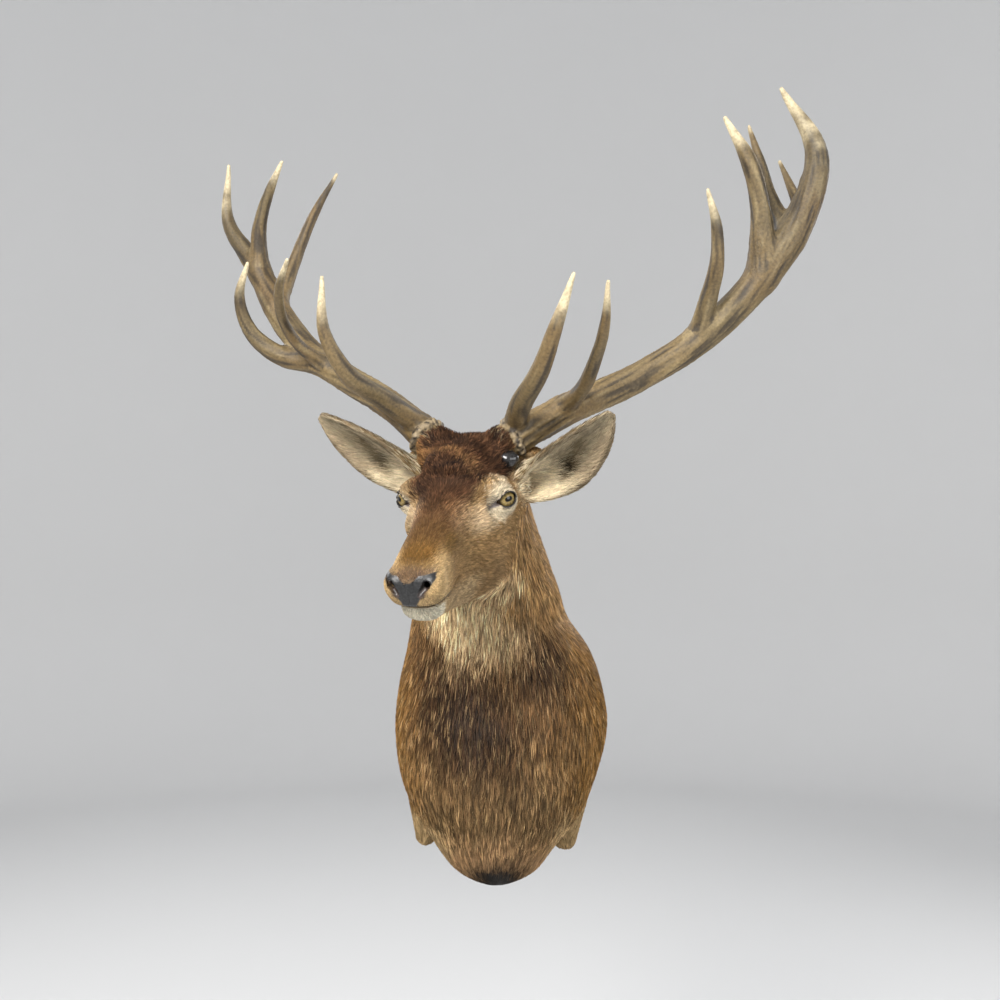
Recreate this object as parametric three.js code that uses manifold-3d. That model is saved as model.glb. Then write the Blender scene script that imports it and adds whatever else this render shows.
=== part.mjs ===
// Red deer stag shoulder mount, life size, in millimetres.
// The wall is the plane y = 0 and the animal reaches out from it towards -Y; +X is the
// right-hand side as seen from the front and +Z is up. The head is turned towards -X.
import * as THREE from 'three';
import Module from 'manifold-3d';
import { mergeVertices } from 'three/addons/utils/BufferGeometryUtils.js';

const wasm = await Module();
wasm.setup();

// ---------------------------------------------------------------- driving dimensions
const GAP = 0.4;                   // clear space left between two touching parts
const SIDES = { left: 1, right: -1 };   // the animal's own left is towards +X
const HEAD_YAW = 16.5;             // degrees, the face turned towards -X
const HEAD_PITCH = 14;             // degrees, the nose held below the eyes
const MUZZLE_DRIFT = 5;            // the nose lies this far to the animal's left of the eyes' midline
const HEAD_CENTRE = [-63, -470, 344];   // midway between the two eyes

// Coat surface of the neck and trunk at each height:
// height, left side, right side, back, front (the last two are distances from the wall)
const BODY_SECTIONS = [
  [-300, -18, 2, 158, 186],
  [-276, -45, 31, 112, 226],
  [-256, -76, 64, 55, 252],
  [-228, -102, 88, -30, 281],
  [-175, -138, 132, -62, 312],
  [-110, -165, 160, -72, 330],
  [-30, -174, 178, -75, 340],
  [40, -167, 168, -72, 342],
  [95, -154, 148, -62, 352],
  [150, -143, 111, -36, 374],
  [195, -130, 96, 2, 394],
  [240, -108, 79, 62, 406],
  [290, -92, 61, 130, 410],
  [340, -84, 44, 196, 408],
  [390, -76, 26, 256, 396],
  [440, -60, 8, 316, 384],
];
const BODY_SQUARENESS = 2.3;
const BODY_TOP = 418;
const BODY_BOTTOM = -281;
const TRUNK_BACK = 3;              // the hide ends this far in front of the wall
const SHOULDER_SEAM = { height: 60, slope: 26 };   // seam between trunk and neck, degrees

// Skull and upper jaw, then lower jaw: place along the face, bottom, top, half width.
// The face axes start midway between the eyes: forward to the nose, out to an ear, up.
const SKULL_SECTIONS = [
  [212, -88, -48, 26],
  [200, -95, -41, 34],
  [180, -99, -33, 38],
  [150, -98, -20, 38],
  [110, -96, -3, 37],
  [70, -97, 13, 43],
  [40, -101, 26, 51],
  [10, -106, 38, 58],
  [-30, -110, 52, 62],
  [-70, -106, 62, 63],
  [-110, -88, 64, 58],
  [-150, -55, 46, 42],
];
const JAW_SECTIONS = [
  [194, -112, -84, 20],
  [178, -119, -80, 27],
  [150, -124, -72, 30],
  [110, -131, -62, 30],
  [60, -141, -55, 36],
  [10, -149, -50, 46],
  [-30, -149, -45, 50],
  [-60, -140, -40, 48],
  [-92, -116, -36, 38],
];
const HEAD_SQUARENESS = 2.35;
const NOSE_END = 208;
const POLL_END = -142;
const CHIN_END = 186;
const JAW_ANGLE_END = -84;
const HEAD_TO_NECK_BLEND = 58;
const BROW = { at: [4, 57, 5], size: [33, 20, 24] };
const ORBIT_REAR = { from: [-24, 64, 10], to: [-26, 64, -18], radius: [14, 14] };
const TEMPLE_ARCH = { from: [-28, 62, -12], to: [-84, 59, -6], radius: [14, 13] };
const CHEEKBONE = { from: [22, 48, -32], to: [-76, 55, -14], radius: 15 };
const CHEEK = { at: [-26, 36, -76], size: [58, 20, 46] };
const NOSTRIL_WING = { at: [190, 26, -64], size: [19, 14, 18] };
const FOREHEAD_CURL = { at: [-34, 0, 44], size: [56, 44, 24] };
const PEDICLE = { from: [-66, 40, 36], to: [-84, 51, 58], radius: [28, 29] };
const EAR_ROOT = { from: [-104, 46, 2], to: [-108, 84, 22], radius: [34, 27] };
const MOUTH_HEIGHT = -94;          // the line between upper lip and lower jaw
const NOSE_PAD = { at: [214, MUZZLE_DRIFT, -68], size: [30, 35, 24] };

const EYE = { at: [-6, 66, -3], radius: 17, outward: 50, up: 4 };
const EYE_OPENING = { length: 38, height: 22, depth: 20 };

// Each ear is a cupped leaf: a rolled funnel at its root that opens towards its tip.
const EAR = {
  root: [-110, 62, 10],
  bend: { left: [-96, 138, 14], right: [-96, 136, 36] },
  tip: { left: [-66, 210, 99], right: [-66, 216, 105] },
  width: 78,
  rootWidth: 49,
  wall: 5,
  roll: [150, 66, 34],             // half angle of the cup at root, middle and tip
  facing: [0.82, 0.1, -0.42],      // the way the hollow looks, in the face axes
};

// Forelegs, cut short below the shoulder: x, distance from the wall, height.
const FORELEGS = {
  left: { top: [112, 84, -128], foot: [112, 62, -244], radius: [50, 21] },
  right: { top: [-116, 84, -128], foot: [-128, 62, -238], radius: [50, 19] },
};
const FORELEG_CUT = -262;

const BOARD = { width: 236, height: 396, thickness: 18, centre: -26 };
const HANGER = { width: 90, height: 26, thickness: 3, above: 110, screwSpacing: 60, screwRadius: 5 };
const PEDICLE_BURR = { radius: 32, height: 13, beads: 11, bead: 2.6 };
const KNOB = { at: [60, -66, 39], radius: 14 };

// Antlers: each branch passes through points out from the midline, forward and up in the
// face axes; its radius runs from root to tip. A beam is cut at the forks it lists.
const ANTLERS = {
  left: {
    beam: {
      path: [[53, -85, 60], [138, -134, 98], [226, -180, 131], [314, -216, 179], [390, -242, 247],
        [452, -270, 330], [480, -292, 426], [432, -300, 520]],
      radius: [25, 22, 21, 21, 23, 23, 17, 3],
      forks: [0.47, 0.66],
    },
    tines: {
      brow: {
        path: [[66, -96, 82], [94, -42, 124], [132, -4, 170], [162, 16, 230], [190, 20, 296]],
        radius: [16, 15, 13, 10, 2.5],
      },
      bez: {
        path: [[120, -128, 96], [162, -104, 126], [194, -68, 176], [216, -36, 228], [228, -8, 282]],
        radius: [13, 11.5, 9, 7, 2.5],
      },
      trez: {
        path: [[314, -217, 186], [334, -198, 242], [348, -180, 288], [350, -172, 338], [340, -164, 388]],
        radius: [15, 12, 10.5, 8, 2.5],
      },
      crown_front: {
        path: [[404, -248, 262], [404, -244, 354], [390, -238, 422], [358, -242, 484]],
        radius: [23, 14, 12, 3],
      },
      crown_rear: {
        path: [[444, -268, 312], [416, -302, 368], [400, -330, 420], [382, -350, 476]],
        radius: [17, 10, 8, 2.5],
      },
      crown_spur: {
        path: [[462, -276, 342], [444, -314, 382], [426, -340, 422]],
        radius: [12, 6.5, 2.5],
      },
    },
  },
  right: {
    beam: {
      path: [[-56, -85, 61], [-134, -128, 110], [-212, -166, 144], [-290, -198, 186], [-352, -230, 248],
        [-400, -262, 322], [-454, -288, 394], [-450, -304, 484]],
      radius: [24, 21, 21, 21, 21, 18, 10.5, 2.5],
      forks: [0.4, 0.66],
    },
    tines: {
      brow: {
        path: [[-74, -98, 80], [-110, -50, 130], [-140, 0, 174], [-162, 18, 238], [-158, 16, 310]],
        radius: [17, 15, 13, 9, 2.5],
      },
      bez: {
        path: [[-246, -180, 160], [-278, -144, 200], [-284, -106, 246], [-268, -72, 292], [-236, -44, 334]],
        radius: [12, 9, 8, 7, 2.5],
      },
      trez: {
        path: [[-268, -190, 170], [-332, -184, 184], [-374, -174, 222], [-384, -166, 278], [-360, -160, 330]],
        radius: [18, 15.5, 12, 8.5, 2.5],
      },
      crown_front: {
        path: [[-390, -256, 306], [-384, -258, 380], [-362, -258, 432], [-332, -258, 480]],
        radius: [15, 11.5, 8.5, 2.5],
      },
      crown_rear: {
        path: [[-358, -236, 256], [-342, -288, 326], [-318, -322, 394], [-282, -352, 458]],
        radius: [15, 10, 8, 2.5],
      },
    },
  },
};
const ANTLER_SIDES = 10;
const TINE_SIDES = 7;

// ---------------------------------------------------------------- small vector helpers
const radians = (degrees) => degrees * Math.PI / 180;
const add = (a, b, scale = 1) => [a[0] + b[0] * scale, a[1] + b[1] * scale, a[2] + b[2] * scale];
const dot = (a, b) => a[0] * b[0] + a[1] * b[1] + a[2] * b[2];
const cross = (a, b) => [a[1] * b[2] - a[2] * b[1], a[2] * b[0] - a[0] * b[2], a[0] * b[1] - a[1] * b[0]];
const unit = (a) => a.map((value) => value / Math.hypot(...a));
const mirror = (p, side) => [p[0], p[1] * side, p[2]];

// ---------------------------------------------------------------- the face axes
const yaw = radians(HEAD_YAW);
const pitch = radians(HEAD_PITCH);
const FORWARD = [-Math.sin(yaw) * Math.cos(pitch), -Math.cos(yaw) * Math.cos(pitch), -Math.sin(pitch)];
const OUTWARD = [Math.cos(yaw), -Math.sin(yaw), 0];
const UPWARD = [-Math.sin(yaw) * Math.sin(pitch), -Math.cos(yaw) * Math.sin(pitch), Math.cos(pitch)];

function turnFromFace([forward, outward, up]) {
  return add(add(add([0, 0, 0], FORWARD, forward), OUTWARD, outward), UPWARD, up);
}
const fromFace = (p) => add(HEAD_CENTRE, turnFromFace(p));
function toFace(p) {
  const offset = add(p, HEAD_CENTRE, -1);
  return [dot(offset, FORWARD), dot(offset, OUTWARD), dot(offset, UPWARD)];
}
// antler points are written outward, forward, up
const fromAntler = ([outward, forward, up]) => fromFace([forward, outward, up]);

// ---------------------------------------------------------------- distance fields
// Negative inside, positive outside, in millimetres near the surface.
function smoothTable(rows) {
  const slopes = rows.map((row, i) => {
    const before = rows[Math.max(i - 1, 0)];
    const after = rows[Math.min(i + 1, rows.length - 1)];
    return row.map((value, column) => (after[column] - before[column]) / (after[0] - before[0]));
  });
  const rising = rows[1][0] > rows[0][0] ? 1 : -1;
  return (station) => {
    let i = 0;
    while (i < rows.length - 2 && (station - rows[i + 1][0]) * rising > 0) i += 1;
    const [low, high] = [rows[i], rows[i + 1]];
    const span = high[0] - low[0];
    const t = Math.min(Math.max((station - low[0]) / span, 0), 1);
    const [t2, t3] = [t * t, t * t * t];
    return low.map((value, column) => (2 * t3 - 3 * t2 + 1) * value + (3 * t2 - 2 * t3) * high[column]
      + (t3 - 2 * t2 + t) * span * slopes[i][column] + (t3 - t2) * span * slopes[i + 1][column]);
  };
}

function ovalDistance(x, y, halfX, halfY, power) {
  const [u, v] = [Math.abs(x) / halfX, Math.abs(y) / halfY];
  const level = Math.max((u ** power + v ** power) ** (1 / power), 1e-3);
  const steepness = Math.hypot((u / level) ** (power - 1) / halfX, (v / level) ** (power - 1) / halfY);
  return (level - 1) / Math.max(steepness, 1e-4);
}

function smoothMin(a, b, blend) {
  const overlap = Math.max(blend - Math.abs(a - b), 0) / blend;
  return Math.min(a, b) - overlap * overlap * blend / 4;
}
const smoothMax = (a, b, blend) => -smoothMin(-a, -b, blend);

function ellipsoidDistance(p, centre, size) {
  const q = add(p, centre, -1);
  const level = Math.hypot(q[0] / size[0], q[1] / size[1], q[2] / size[2]);
  const steepness = Math.hypot(q[0] / size[0] ** 2, q[1] / size[1] ** 2, q[2] / size[2] ** 2);
  return level < 1e-6 ? -Math.min(...size) : level * (level - 1) / steepness;
}

function coneDistance(p, from, to, radii) {
  const axis = add(to, from, -1);
  const offset = add(p, from, -1);
  const t = Math.min(Math.max(dot(offset, axis) / dot(axis, axis), 0), 1);
  return Math.hypot(...add(offset, axis, -t)) - (radii[0] + (radii[1] - radii[0]) * t);
}

const bodySection = smoothTable(BODY_SECTIONS);
function bodyDistance([x, y, z]) {
  const [, left, right, back, front] = bodySection(z);
  const side = ovalDistance(x - (left + right) / 2, -y - (back + front) / 2,
    (right - left) / 2, (front - back) / 2, BODY_SQUARENESS);
  return smoothMax(smoothMax(side, z - BODY_TOP, 40), BODY_BOTTOM - z, 24);
}

const skullSection = smoothTable(SKULL_SECTIONS);
const jawSection = smoothTable(JAW_SECTIONS);
const muzzleDrift = (forward) => MUZZLE_DRIFT * Math.max(forward / SKULL_SECTIONS[1][0], 0) ** 1.5;
function facePieceDistance(section, [forward, outward, up]) {
  const [, bottom, top, halfWidth] = section(forward);
  return ovalDistance(outward, up - (bottom + top) / 2, halfWidth, (top - bottom) / 2, HEAD_SQUARENESS);
}

function headDistance(p) {
  const place = toFace(p);
  const face = [place[0], place[1] - muzzleDrift(place[0]), place[2]];
  const half = [face[0], Math.abs(face[1]), face[2]];
  const skull = smoothMax(smoothMax(facePieceDistance(skullSection, face), face[0] - NOSE_END, 18),
    POLL_END - face[0], 40);
  const jaw = smoothMax(smoothMax(facePieceDistance(jawSection, face), face[0] - CHIN_END, 18),
    JAW_ANGLE_END - face[0], 30);
  let distance = smoothMin(skull, jaw, 10);
  distance = smoothMin(distance, ellipsoidDistance(half, CHEEK.at, CHEEK.size), 34);
  distance = smoothMin(distance, coneDistance(half, CHEEKBONE.from, CHEEKBONE.to,
    [CHEEKBONE.radius, CHEEKBONE.radius]), 34);
  distance = smoothMin(distance, ellipsoidDistance(half, BROW.at, BROW.size), 26);
  for (const part of [ORBIT_REAR, TEMPLE_ARCH]) {
    distance = smoothMin(distance, coneDistance(half, part.from, part.to, part.radius), 14);
  }
  distance = smoothMin(distance, ellipsoidDistance(half, NOSTRIL_WING.at, NOSTRIL_WING.size), 10);
  distance = smoothMin(distance, ellipsoidDistance(half, FOREHEAD_CURL.at, FOREHEAD_CURL.size), 34);
  distance = smoothMin(distance, coneDistance(half, PEDICLE.from, PEDICLE.to, PEDICLE.radius), 16);
  return smoothMin(distance, coneDistance(half, EAR_ROOT.from, EAR_ROOT.to, EAR_ROOT.radius), 22);
}

function forelegDistance(p, leg) {
  const at = (q) => [q[0], -q[1], q[2]];
  return coneDistance(p, at(leg.top), at(leg.foot), leg.radius);
}

const fleshDistance = (p) => smoothMin(bodyDistance(p), headDistance(p), HEAD_TO_NECK_BLEND);
// the share of the blended hide that belongs to the head, the body or a foreleg
const headShare = (p) => Math.max(fleshDistance(p), headDistance(p) - HEAD_TO_NECK_BLEND / 4);
const bodyShare = (p) => Math.max(fleshDistance(p), bodyDistance(p) - HEAD_TO_NECK_BLEND / 4);

// ---------------------------------------------------------------- solids
function solidFrom(positions, triangles) {
  let volume = 0;
  for (let i = 0; i < triangles.length; i += 3) {
    const [a, b, c] = [positions[triangles[i]], positions[triangles[i + 1]], positions[triangles[i + 2]]];
    volume += dot(a, cross(b, c));
  }
  const order = volume > 0 ? triangles : triangles.slice().reverse();
  return new wasm.Manifold(new wasm.Mesh({
    numProp: 3,
    vertProperties: new Float32Array(positions.flat()),
    triVerts: new Uint32Array(order),
  }));
}

// Closed skin over rings that all hold the same number of points, with a point at each end.
function loftSolid(rings, firstEnd, lastEnd) {
  const count = rings[0].length;
  const positions = [...rings.flat(), firstEnd, lastEnd];
  const first = rings.length * count;
  const triangles = [];
  for (let i = 0; i < count; i += 1) {
    const next = (i + 1) % count;
    triangles.push(first, next, i);
    for (let ring = 0; ring < rings.length - 1; ring += 1) {
      const [low, high] = [ring * count, (ring + 1) * count];
      triangles.push(low + i, low + next, high + next, low + i, high + next, high + i);
    }
    const last = (rings.length - 1) * count;
    triangles.push(last + i, last + next, first + 1);
  }
  return solidFrom(positions, triangles);
}

// How far a straight line from inside the field runs before it leaves the level.
function reach(field, level, start, direction, limit = 700) {
  let [inside, outside] = [0, null];
  let travelled = 0;
  while (travelled < limit && outside === null) {
    const value = field(add(start, direction, travelled)) - level;
    if (value > 0) outside = travelled;
    else {
      inside = travelled;
      travelled += Math.max(-value * 0.6, 1);
    }
  }
  for (let i = 0; i < 14; i += 1) {
    const middle = (inside + outside) / 2;
    if (field(add(start, direction, middle)) > level) outside = middle;
    else inside = middle;
  }
  return add(start, direction, inside);
}

// Loft of a field's surface over rings of rays, each ring about its centre in its own plane.
function fieldSolid(field, level, centres, count, across, upwards, axis) {
  const rings = centres.map((centre) => Array.from({ length: count }, (_, i) => {
    const angle = 2 * Math.PI * i / count;
    const direction = add(add([0, 0, 0], across, Math.cos(angle)), upwards, Math.sin(angle));
    return reach(field, level, centre, direction);
  }));
  const last = centres.length - 1;
  const firstEnd = reach(field, level, centres[0], axis.map((value) => -value));
  return loftSolid(rings, firstEnd, reach(field, level, centres[last], axis));
}

function solidOf(geometry) {
  const bare = geometry.clone();
  bare.deleteAttribute('normal');
  bare.deleteAttribute('uv');
  const merged = mergeVertices(bare, 1e-3);
  return new wasm.Manifold(new wasm.Mesh({
    numProp: 3,
    vertProperties: new Float32Array(merged.attributes.position.array),
    triVerts: new Uint32Array(merged.index.array),
  }));
}

function largestPiece(solid) {
  return solid.decompose().reduce((best, piece) => (piece.volume() > best.volume() ? piece : best));
}

function faceEllipsoid(at, size) {
  const geometry = new THREE.SphereGeometry(1, 12, 8);
  geometry.scale(size[0], size[1], size[2]);
  const axes = new THREE.Matrix4().makeBasis(new THREE.Vector3(...FORWARD), new THREE.Vector3(...OUTWARD),
    new THREE.Vector3(...UPWARD));
  geometry.applyMatrix4(axes.setPosition(...fromFace(at)));
  return solidOf(geometry);
}

// ---------------------------------------------------------------- head, neck and trunk
function spread(from, to, steps, ends) {
  // even steps that crowd together near the listed ends
  return Array.from({ length: steps + 1 }, (_, i) => {
    const t = i / steps;
    const eased = (1 - Math.cos(Math.PI * t)) / 2;
    return from + (to - from) * (t * (1 - ends) + eased * ends);
  });
}

function headSolid(level) {
  const centres = spread(-122, 198, 20, 0.45).map((forward) => {
    const [, bottom, top] = skullSection(forward);
    return fromFace([forward, muzzleDrift(forward), (bottom + top) / 2 - 8]);
  });
  return fieldSolid(headShare, level, centres, 24, OUTWARD, UPWARD, FORWARD);
}

function bodySolid(level) {
  const centres = spread(BODY_BOTTOM + 6, BODY_TOP - 22, 20, 0.55).map((height) => {
    const [, left, right, back, front] = bodySection(height);
    return [(left + right) / 2, -(back + front) / 2, height];
  });
  return fieldSolid(bodyShare, level, centres, 26, [1, 0, 0], [0, 1, 0], [0, 0, 1]);
}

function forelegSolid(leg, level) {
  const centres = spread(leg.foot[2] - 8, leg.top[2] + 20, 7, 0.2).map((height) => {
    const down = (leg.top[2] - height) / (leg.top[2] - leg.foot[2]);
    const place = add(leg.top, add(leg.foot, leg.top, -1), down);
    return [place[0], -place[1], height];
  });
  return fieldSolid((p) => forelegDistance(p, leg), level, centres, 11, [1, 0, 0], [0, 1, 0], [0, 0, 1]);
}

// ---------------------------------------------------------------- eyes
function eyeDirection(side) {
  const [outward, up] = [radians(EYE.outward), radians(EYE.up)];
  const level = [Math.cos(outward) * Math.cos(up), Math.sin(outward) * Math.cos(up), Math.sin(up)];
  return turnFromFace(mirror(level, side));
}

function eyeSolid(side, extra = 0) {
  const geometry = new THREE.SphereGeometry(EYE.radius + extra, 12, 8);
  geometry.translate(...fromFace(mirror(EYE.at, side)));
  return solidOf(geometry);
}

function eyeOpening(side) {
  const look = eyeDirection(side);
  const along = unit(cross(UPWARD, look));
  const geometry = new THREE.SphereGeometry(0.5, 12, 8);
  geometry.scale(EYE_OPENING.length, EYE_OPENING.height, 2 * EYE_OPENING.depth);
  const axes = new THREE.Matrix4().makeBasis(new THREE.Vector3(...along),
    new THREE.Vector3(...unit(cross(look, along))), new THREE.Vector3(...look));
  const centre = add(fromFace(mirror(EYE.at, side)), look, EYE.radius);
  geometry.applyMatrix4(axes.setPosition(...centre));
  return solidOf(geometry);
}

// ---------------------------------------------------------------- ears
function earSolid(name, extra = 0) {
  const side = SIDES[name];
  const at = (p) => new THREE.Vector3(...fromFace(mirror(p, side)));
  const spine = new THREE.QuadraticBezierCurve3(at(EAR.root), at(EAR.bend[name]), at(EAR.tip[name]));
  const facing = turnFromFace(mirror(EAR.facing, side));
  const rollAt = smoothTable([[0, EAR.roll[0]], [0.45, EAR.roll[1]], [1, EAR.roll[2]]]);
  const widthAt = smoothTable([[0, EAR.rootWidth], [0.18, EAR.rootWidth * 1.16], [0.5, EAR.width],
    [0.78, EAR.width * 0.74], [0.94, EAR.width * 0.36], [1, EAR.width * 0.14]]);
  const half = 8;
  const rings = spread(0, 1, 9, 0.35).map((t) => {
    const centre = spine.getPoint(t).toArray();
    const along = spine.getTangent(t).toArray();
    const across = unit(cross(facing, along));
    const outOfCup = unit(cross(along, across));
    const roll = radians(rollAt(t)[1]);
    const width = widthAt(t)[1] + 2 * extra;
    const radius = width / 2 / Math.sin(Math.min(roll, Math.PI / 2));
    const point = (s, offset) => {
      const angle = s * roll;
      const place = add(centre, across, (radius + offset) * Math.sin(angle));
      return add(place, outOfCup, radius - (radius + offset) * Math.cos(angle));
    };
    const wall = EAR.wall / 2 + extra;
    const outer = Array.from({ length: half }, (_, i) => point(-1 + 2 * i / (half - 1), wall));
    const inner = Array.from({ length: half }, (_, i) => point(0.94 - 1.88 * i / (half - 1), -wall));
    return [...outer, ...inner];
  });
  const middle = (ring) => add(ring[half >> 1], add(ring[half + (half >> 1)], ring[half >> 1], -1), 0.5);
  const tipEnd = add(middle(rings.at(-1)), spine.getTangent(1).toArray(), 2 + extra);
  return loftSolid(rings, middle(rings[0]), tipEnd);
}

// ---------------------------------------------------------------- antlers
function branchCurve(branch) {
  return new THREE.CatmullRomCurve3(branch.path.map((p) => new THREE.Vector3(...fromAntler(p))));
}

function branchRadius(branch, t) {
  const place = t * (branch.radius.length - 1);
  const i = Math.min(Math.floor(place), branch.radius.length - 2);
  return branch.radius[i] + (branch.radius[i + 1] - branch.radius[i]) * (place - i);
}

// Round tapered branch between two fractions of its curve, ending in a short blunt point.
function branchSolid(branch, sides, from = 0, to = 1, extra = 0) {
  const curve = branchCurve(branch);
  const steps = Math.max(3, Math.round((to - from) * (branch.path.length - 1) * 2));
  const frames = curve.computeFrenetFrames(48, false);
  const rings = Array.from({ length: steps + 1 }, (_, k) => {
    const t = from + (to - from) * k / steps;
    const centre = curve.getPoint(t).toArray();
    const along = curve.getTangent(t).toArray();
    const guide = frames.normals[Math.round(t * 48)].toArray();
    const across = unit(add(guide, along, -dot(guide, along)));
    const over = cross(along, across);
    return Array.from({ length: sides }, (_, i) => {
      const angle = 2 * Math.PI * i / sides;
      const radius = branchRadius(branch, t) + extra;
      return add(add(centre, across, radius * Math.cos(angle)), over, radius * Math.sin(angle));
    });
  });
  const firstEnd = curve.getPoint(from).toArray();
  const tip = to === 1 ? branch.radius.at(-1) : 0;
  return loftSolid(rings, firstEnd, add(curve.getPoint(to).toArray(), curve.getTangent(to).toArray(), tip));
}

function burrSolid(branch, extra = 0) {
  const curve = branchCurve(branch);
  const axis = curve.getTangent(0).toArray();
  const across = unit(cross(axis, UPWARD));
  const over = cross(axis, across);
  const count = PEDICLE_BURR.beads * 2;
  const profile = [[-0.5, 0.8], [-0.3, 1], [0.2, 1], [0.5, 0.78]];
  const rings = profile.map(([place, scale]) => Array.from({ length: count }, (_, i) => {
    const angle = 2 * Math.PI * i / count;
    const bead = i % 2 === 0 ? PEDICLE_BURR.bead : -PEDICLE_BURR.bead;
    const radius = PEDICLE_BURR.radius * scale + bead * scale + extra;
    const height = place * (PEDICLE_BURR.height + 2 * extra);
    const centre = add(curve.getPoint(0).toArray(), axis, height);
    return add(add(centre, across, radius * Math.cos(angle)), over, radius * Math.sin(angle));
  }));
  const end = (place) => add(curve.getPoint(0).toArray(), axis, place * (PEDICLE_BURR.height + 2 * extra));
  return loftSolid(rings, end(-0.5), end(0.5));
}

function antlerSolids(side) {
  const { beam, tines } = ANTLERS[side];
  const name = `antler_${side}`;
  const solids = { [`${name}_burr`]: burrSolid(beam) };
  const start = branchCurve(beam).getPoint(0).toArray();
  const axis = branchCurve(beam).getTangent(0).toArray();
  const burrTop = dot(start, axis) + PEDICLE_BURR.height / 2 + GAP;
  const stem = branchSolid(beam, ANTLER_SIDES).trimByPlane(axis, burrTop);
  let taken = branchSolid(beam, ANTLER_SIDES, 0, 1, GAP).add(burrSolid(beam, GAP));
  const cuts = beam.forks.map((t) => {
    const normal = branchCurve(beam).getTangent(t).toArray();
    return { normal, offset: dot(normal, branchCurve(beam).getPoint(t).toArray()) };
  });
  const lengths = ['lower', 'middle', 'upper'];
  lengths.forEach((length, i) => {
    let piece = stem;
    if (i > 0) piece = piece.trimByPlane(cuts[i - 1].normal, cuts[i - 1].offset + GAP / 2);
    if (i < cuts.length) {
      const back = cuts[i].normal.map((value) => -value);
      piece = piece.trimByPlane(back, -cuts[i].offset + GAP / 2);
    }
    solids[`${name}_beam_${length}`] = largestPiece(piece);
  });
  for (const [tine, branch] of Object.entries(tines)) {
    solids[`${name}_${tine}`] = largestPiece(branchSolid(branch, TINE_SIDES).subtract(taken));
    taken = taken.add(branchSolid(branch, TINE_SIDES, 0, 1, GAP));
  }
  return { solids, taken };
}

function knobSolid(extra = 0) {
  const geometry = new THREE.SphereGeometry(KNOB.radius + extra, 10, 7);
  geometry.translate(...fromAntler(KNOB.at));
  return solidOf(geometry);
}

// ---------------------------------------------------------------- backboard and hanger
function boardOutline(extra) {
  const outline = new THREE.Shape();
  outline.absellipse(0, 0, BOARD.width / 2 + extra, BOARD.height / 2 + extra, 0, 2 * Math.PI);
  return outline;
}

function boardSolid(extra = 0) {
  const geometry = new THREE.ExtrudeGeometry(boardOutline(extra), {
    depth: BOARD.thickness + extra, bevelEnabled: false, curveSegments: 16,
  });
  geometry.rotateX(Math.PI / 2);
  geometry.translate(0, 0, BOARD.centre);
  return solidOf(geometry);
}

function hangerSolid(extra = 0) {
  const geometry = new THREE.BoxGeometry(HANGER.width + 2 * extra, HANGER.thickness + extra,
    HANGER.height + 2 * extra);
  geometry.translate(0, -(HANGER.thickness + extra) / 2, HANGER.above);
  return solidOf(geometry);
}

function screwSolid(side, extra = 0) {
  const geometry = new THREE.CylinderGeometry(HANGER.screwRadius + extra, HANGER.screwRadius / 2 + extra,
    HANGER.thickness * 4, 12);
  geometry.translate(side * HANGER.screwSpacing / 2, -HANGER.thickness * 2, 0);
  geometry.translate(0, 0, HANGER.above);
  return solidOf(geometry);
}

// ---------------------------------------------------------------- assembly
const FINISHES = {
  hide: { color: 0x8a5f3c, roughness: 0.9, metalness: 0 },
  neckHide: { color: 0x7c5637, roughness: 0.92, metalness: 0 },
  jawHide: { color: 0xb39a78, roughness: 0.9, metalness: 0 },
  earHide: { color: 0xa08a6c, roughness: 0.92, metalness: 0 },
  noseSkin: { color: 0x231f1e, roughness: 0.45, metalness: 0 },
  glass: { color: 0x3a2410, roughness: 0.06, metalness: 0 },
  antler: { color: 0x84694a, roughness: 0.6, metalness: 0 },
  burr: { color: 0xa68d68, roughness: 0.7, metalness: 0 },
  blackGloss: { color: 0x0c0b0b, roughness: 0.15, metalness: 0 },
  pine: { color: 0xb98d5c, roughness: 0.7, metalness: 0 },
  steel: { color: 0x8f9296, roughness: 0.4, metalness: 0.9 },
};

const group = new THREE.Group();

function addPart(name, solid, finish) {
  const { vertProperties, triVerts } = solid.getMesh();
  const geometry = new THREE.BufferGeometry();
  geometry.setAttribute('position', new THREE.BufferAttribute(new Float32Array(vertProperties), 3));
  geometry.setIndex(new THREE.BufferAttribute(new Uint32Array(triVerts), 1));
  geometry.computeVertexNormals();
  const mesh = new THREE.Mesh(geometry, new THREE.MeshStandardMaterial(FINISHES[finish]));
  mesh.name = name;
  group.add(mesh);
}

function addAntlers() {
  const taken = Object.fromEntries(['left', 'right'].map((side) => {
    const { solids, taken: space } = antlerSolids(side);
    for (const [name, solid] of Object.entries(solids)) {
      addPart(name, solid, name.endsWith('burr') ? 'burr' : 'antler');
    }
    return [side, space];
  }));
  const knob = largestPiece(knobSolid().subtract(taken.left));
  addPart('burr_knob', knob, 'blackGloss');
  return taken.left.add(taken.right).add(knobSolid(GAP));
}

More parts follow.
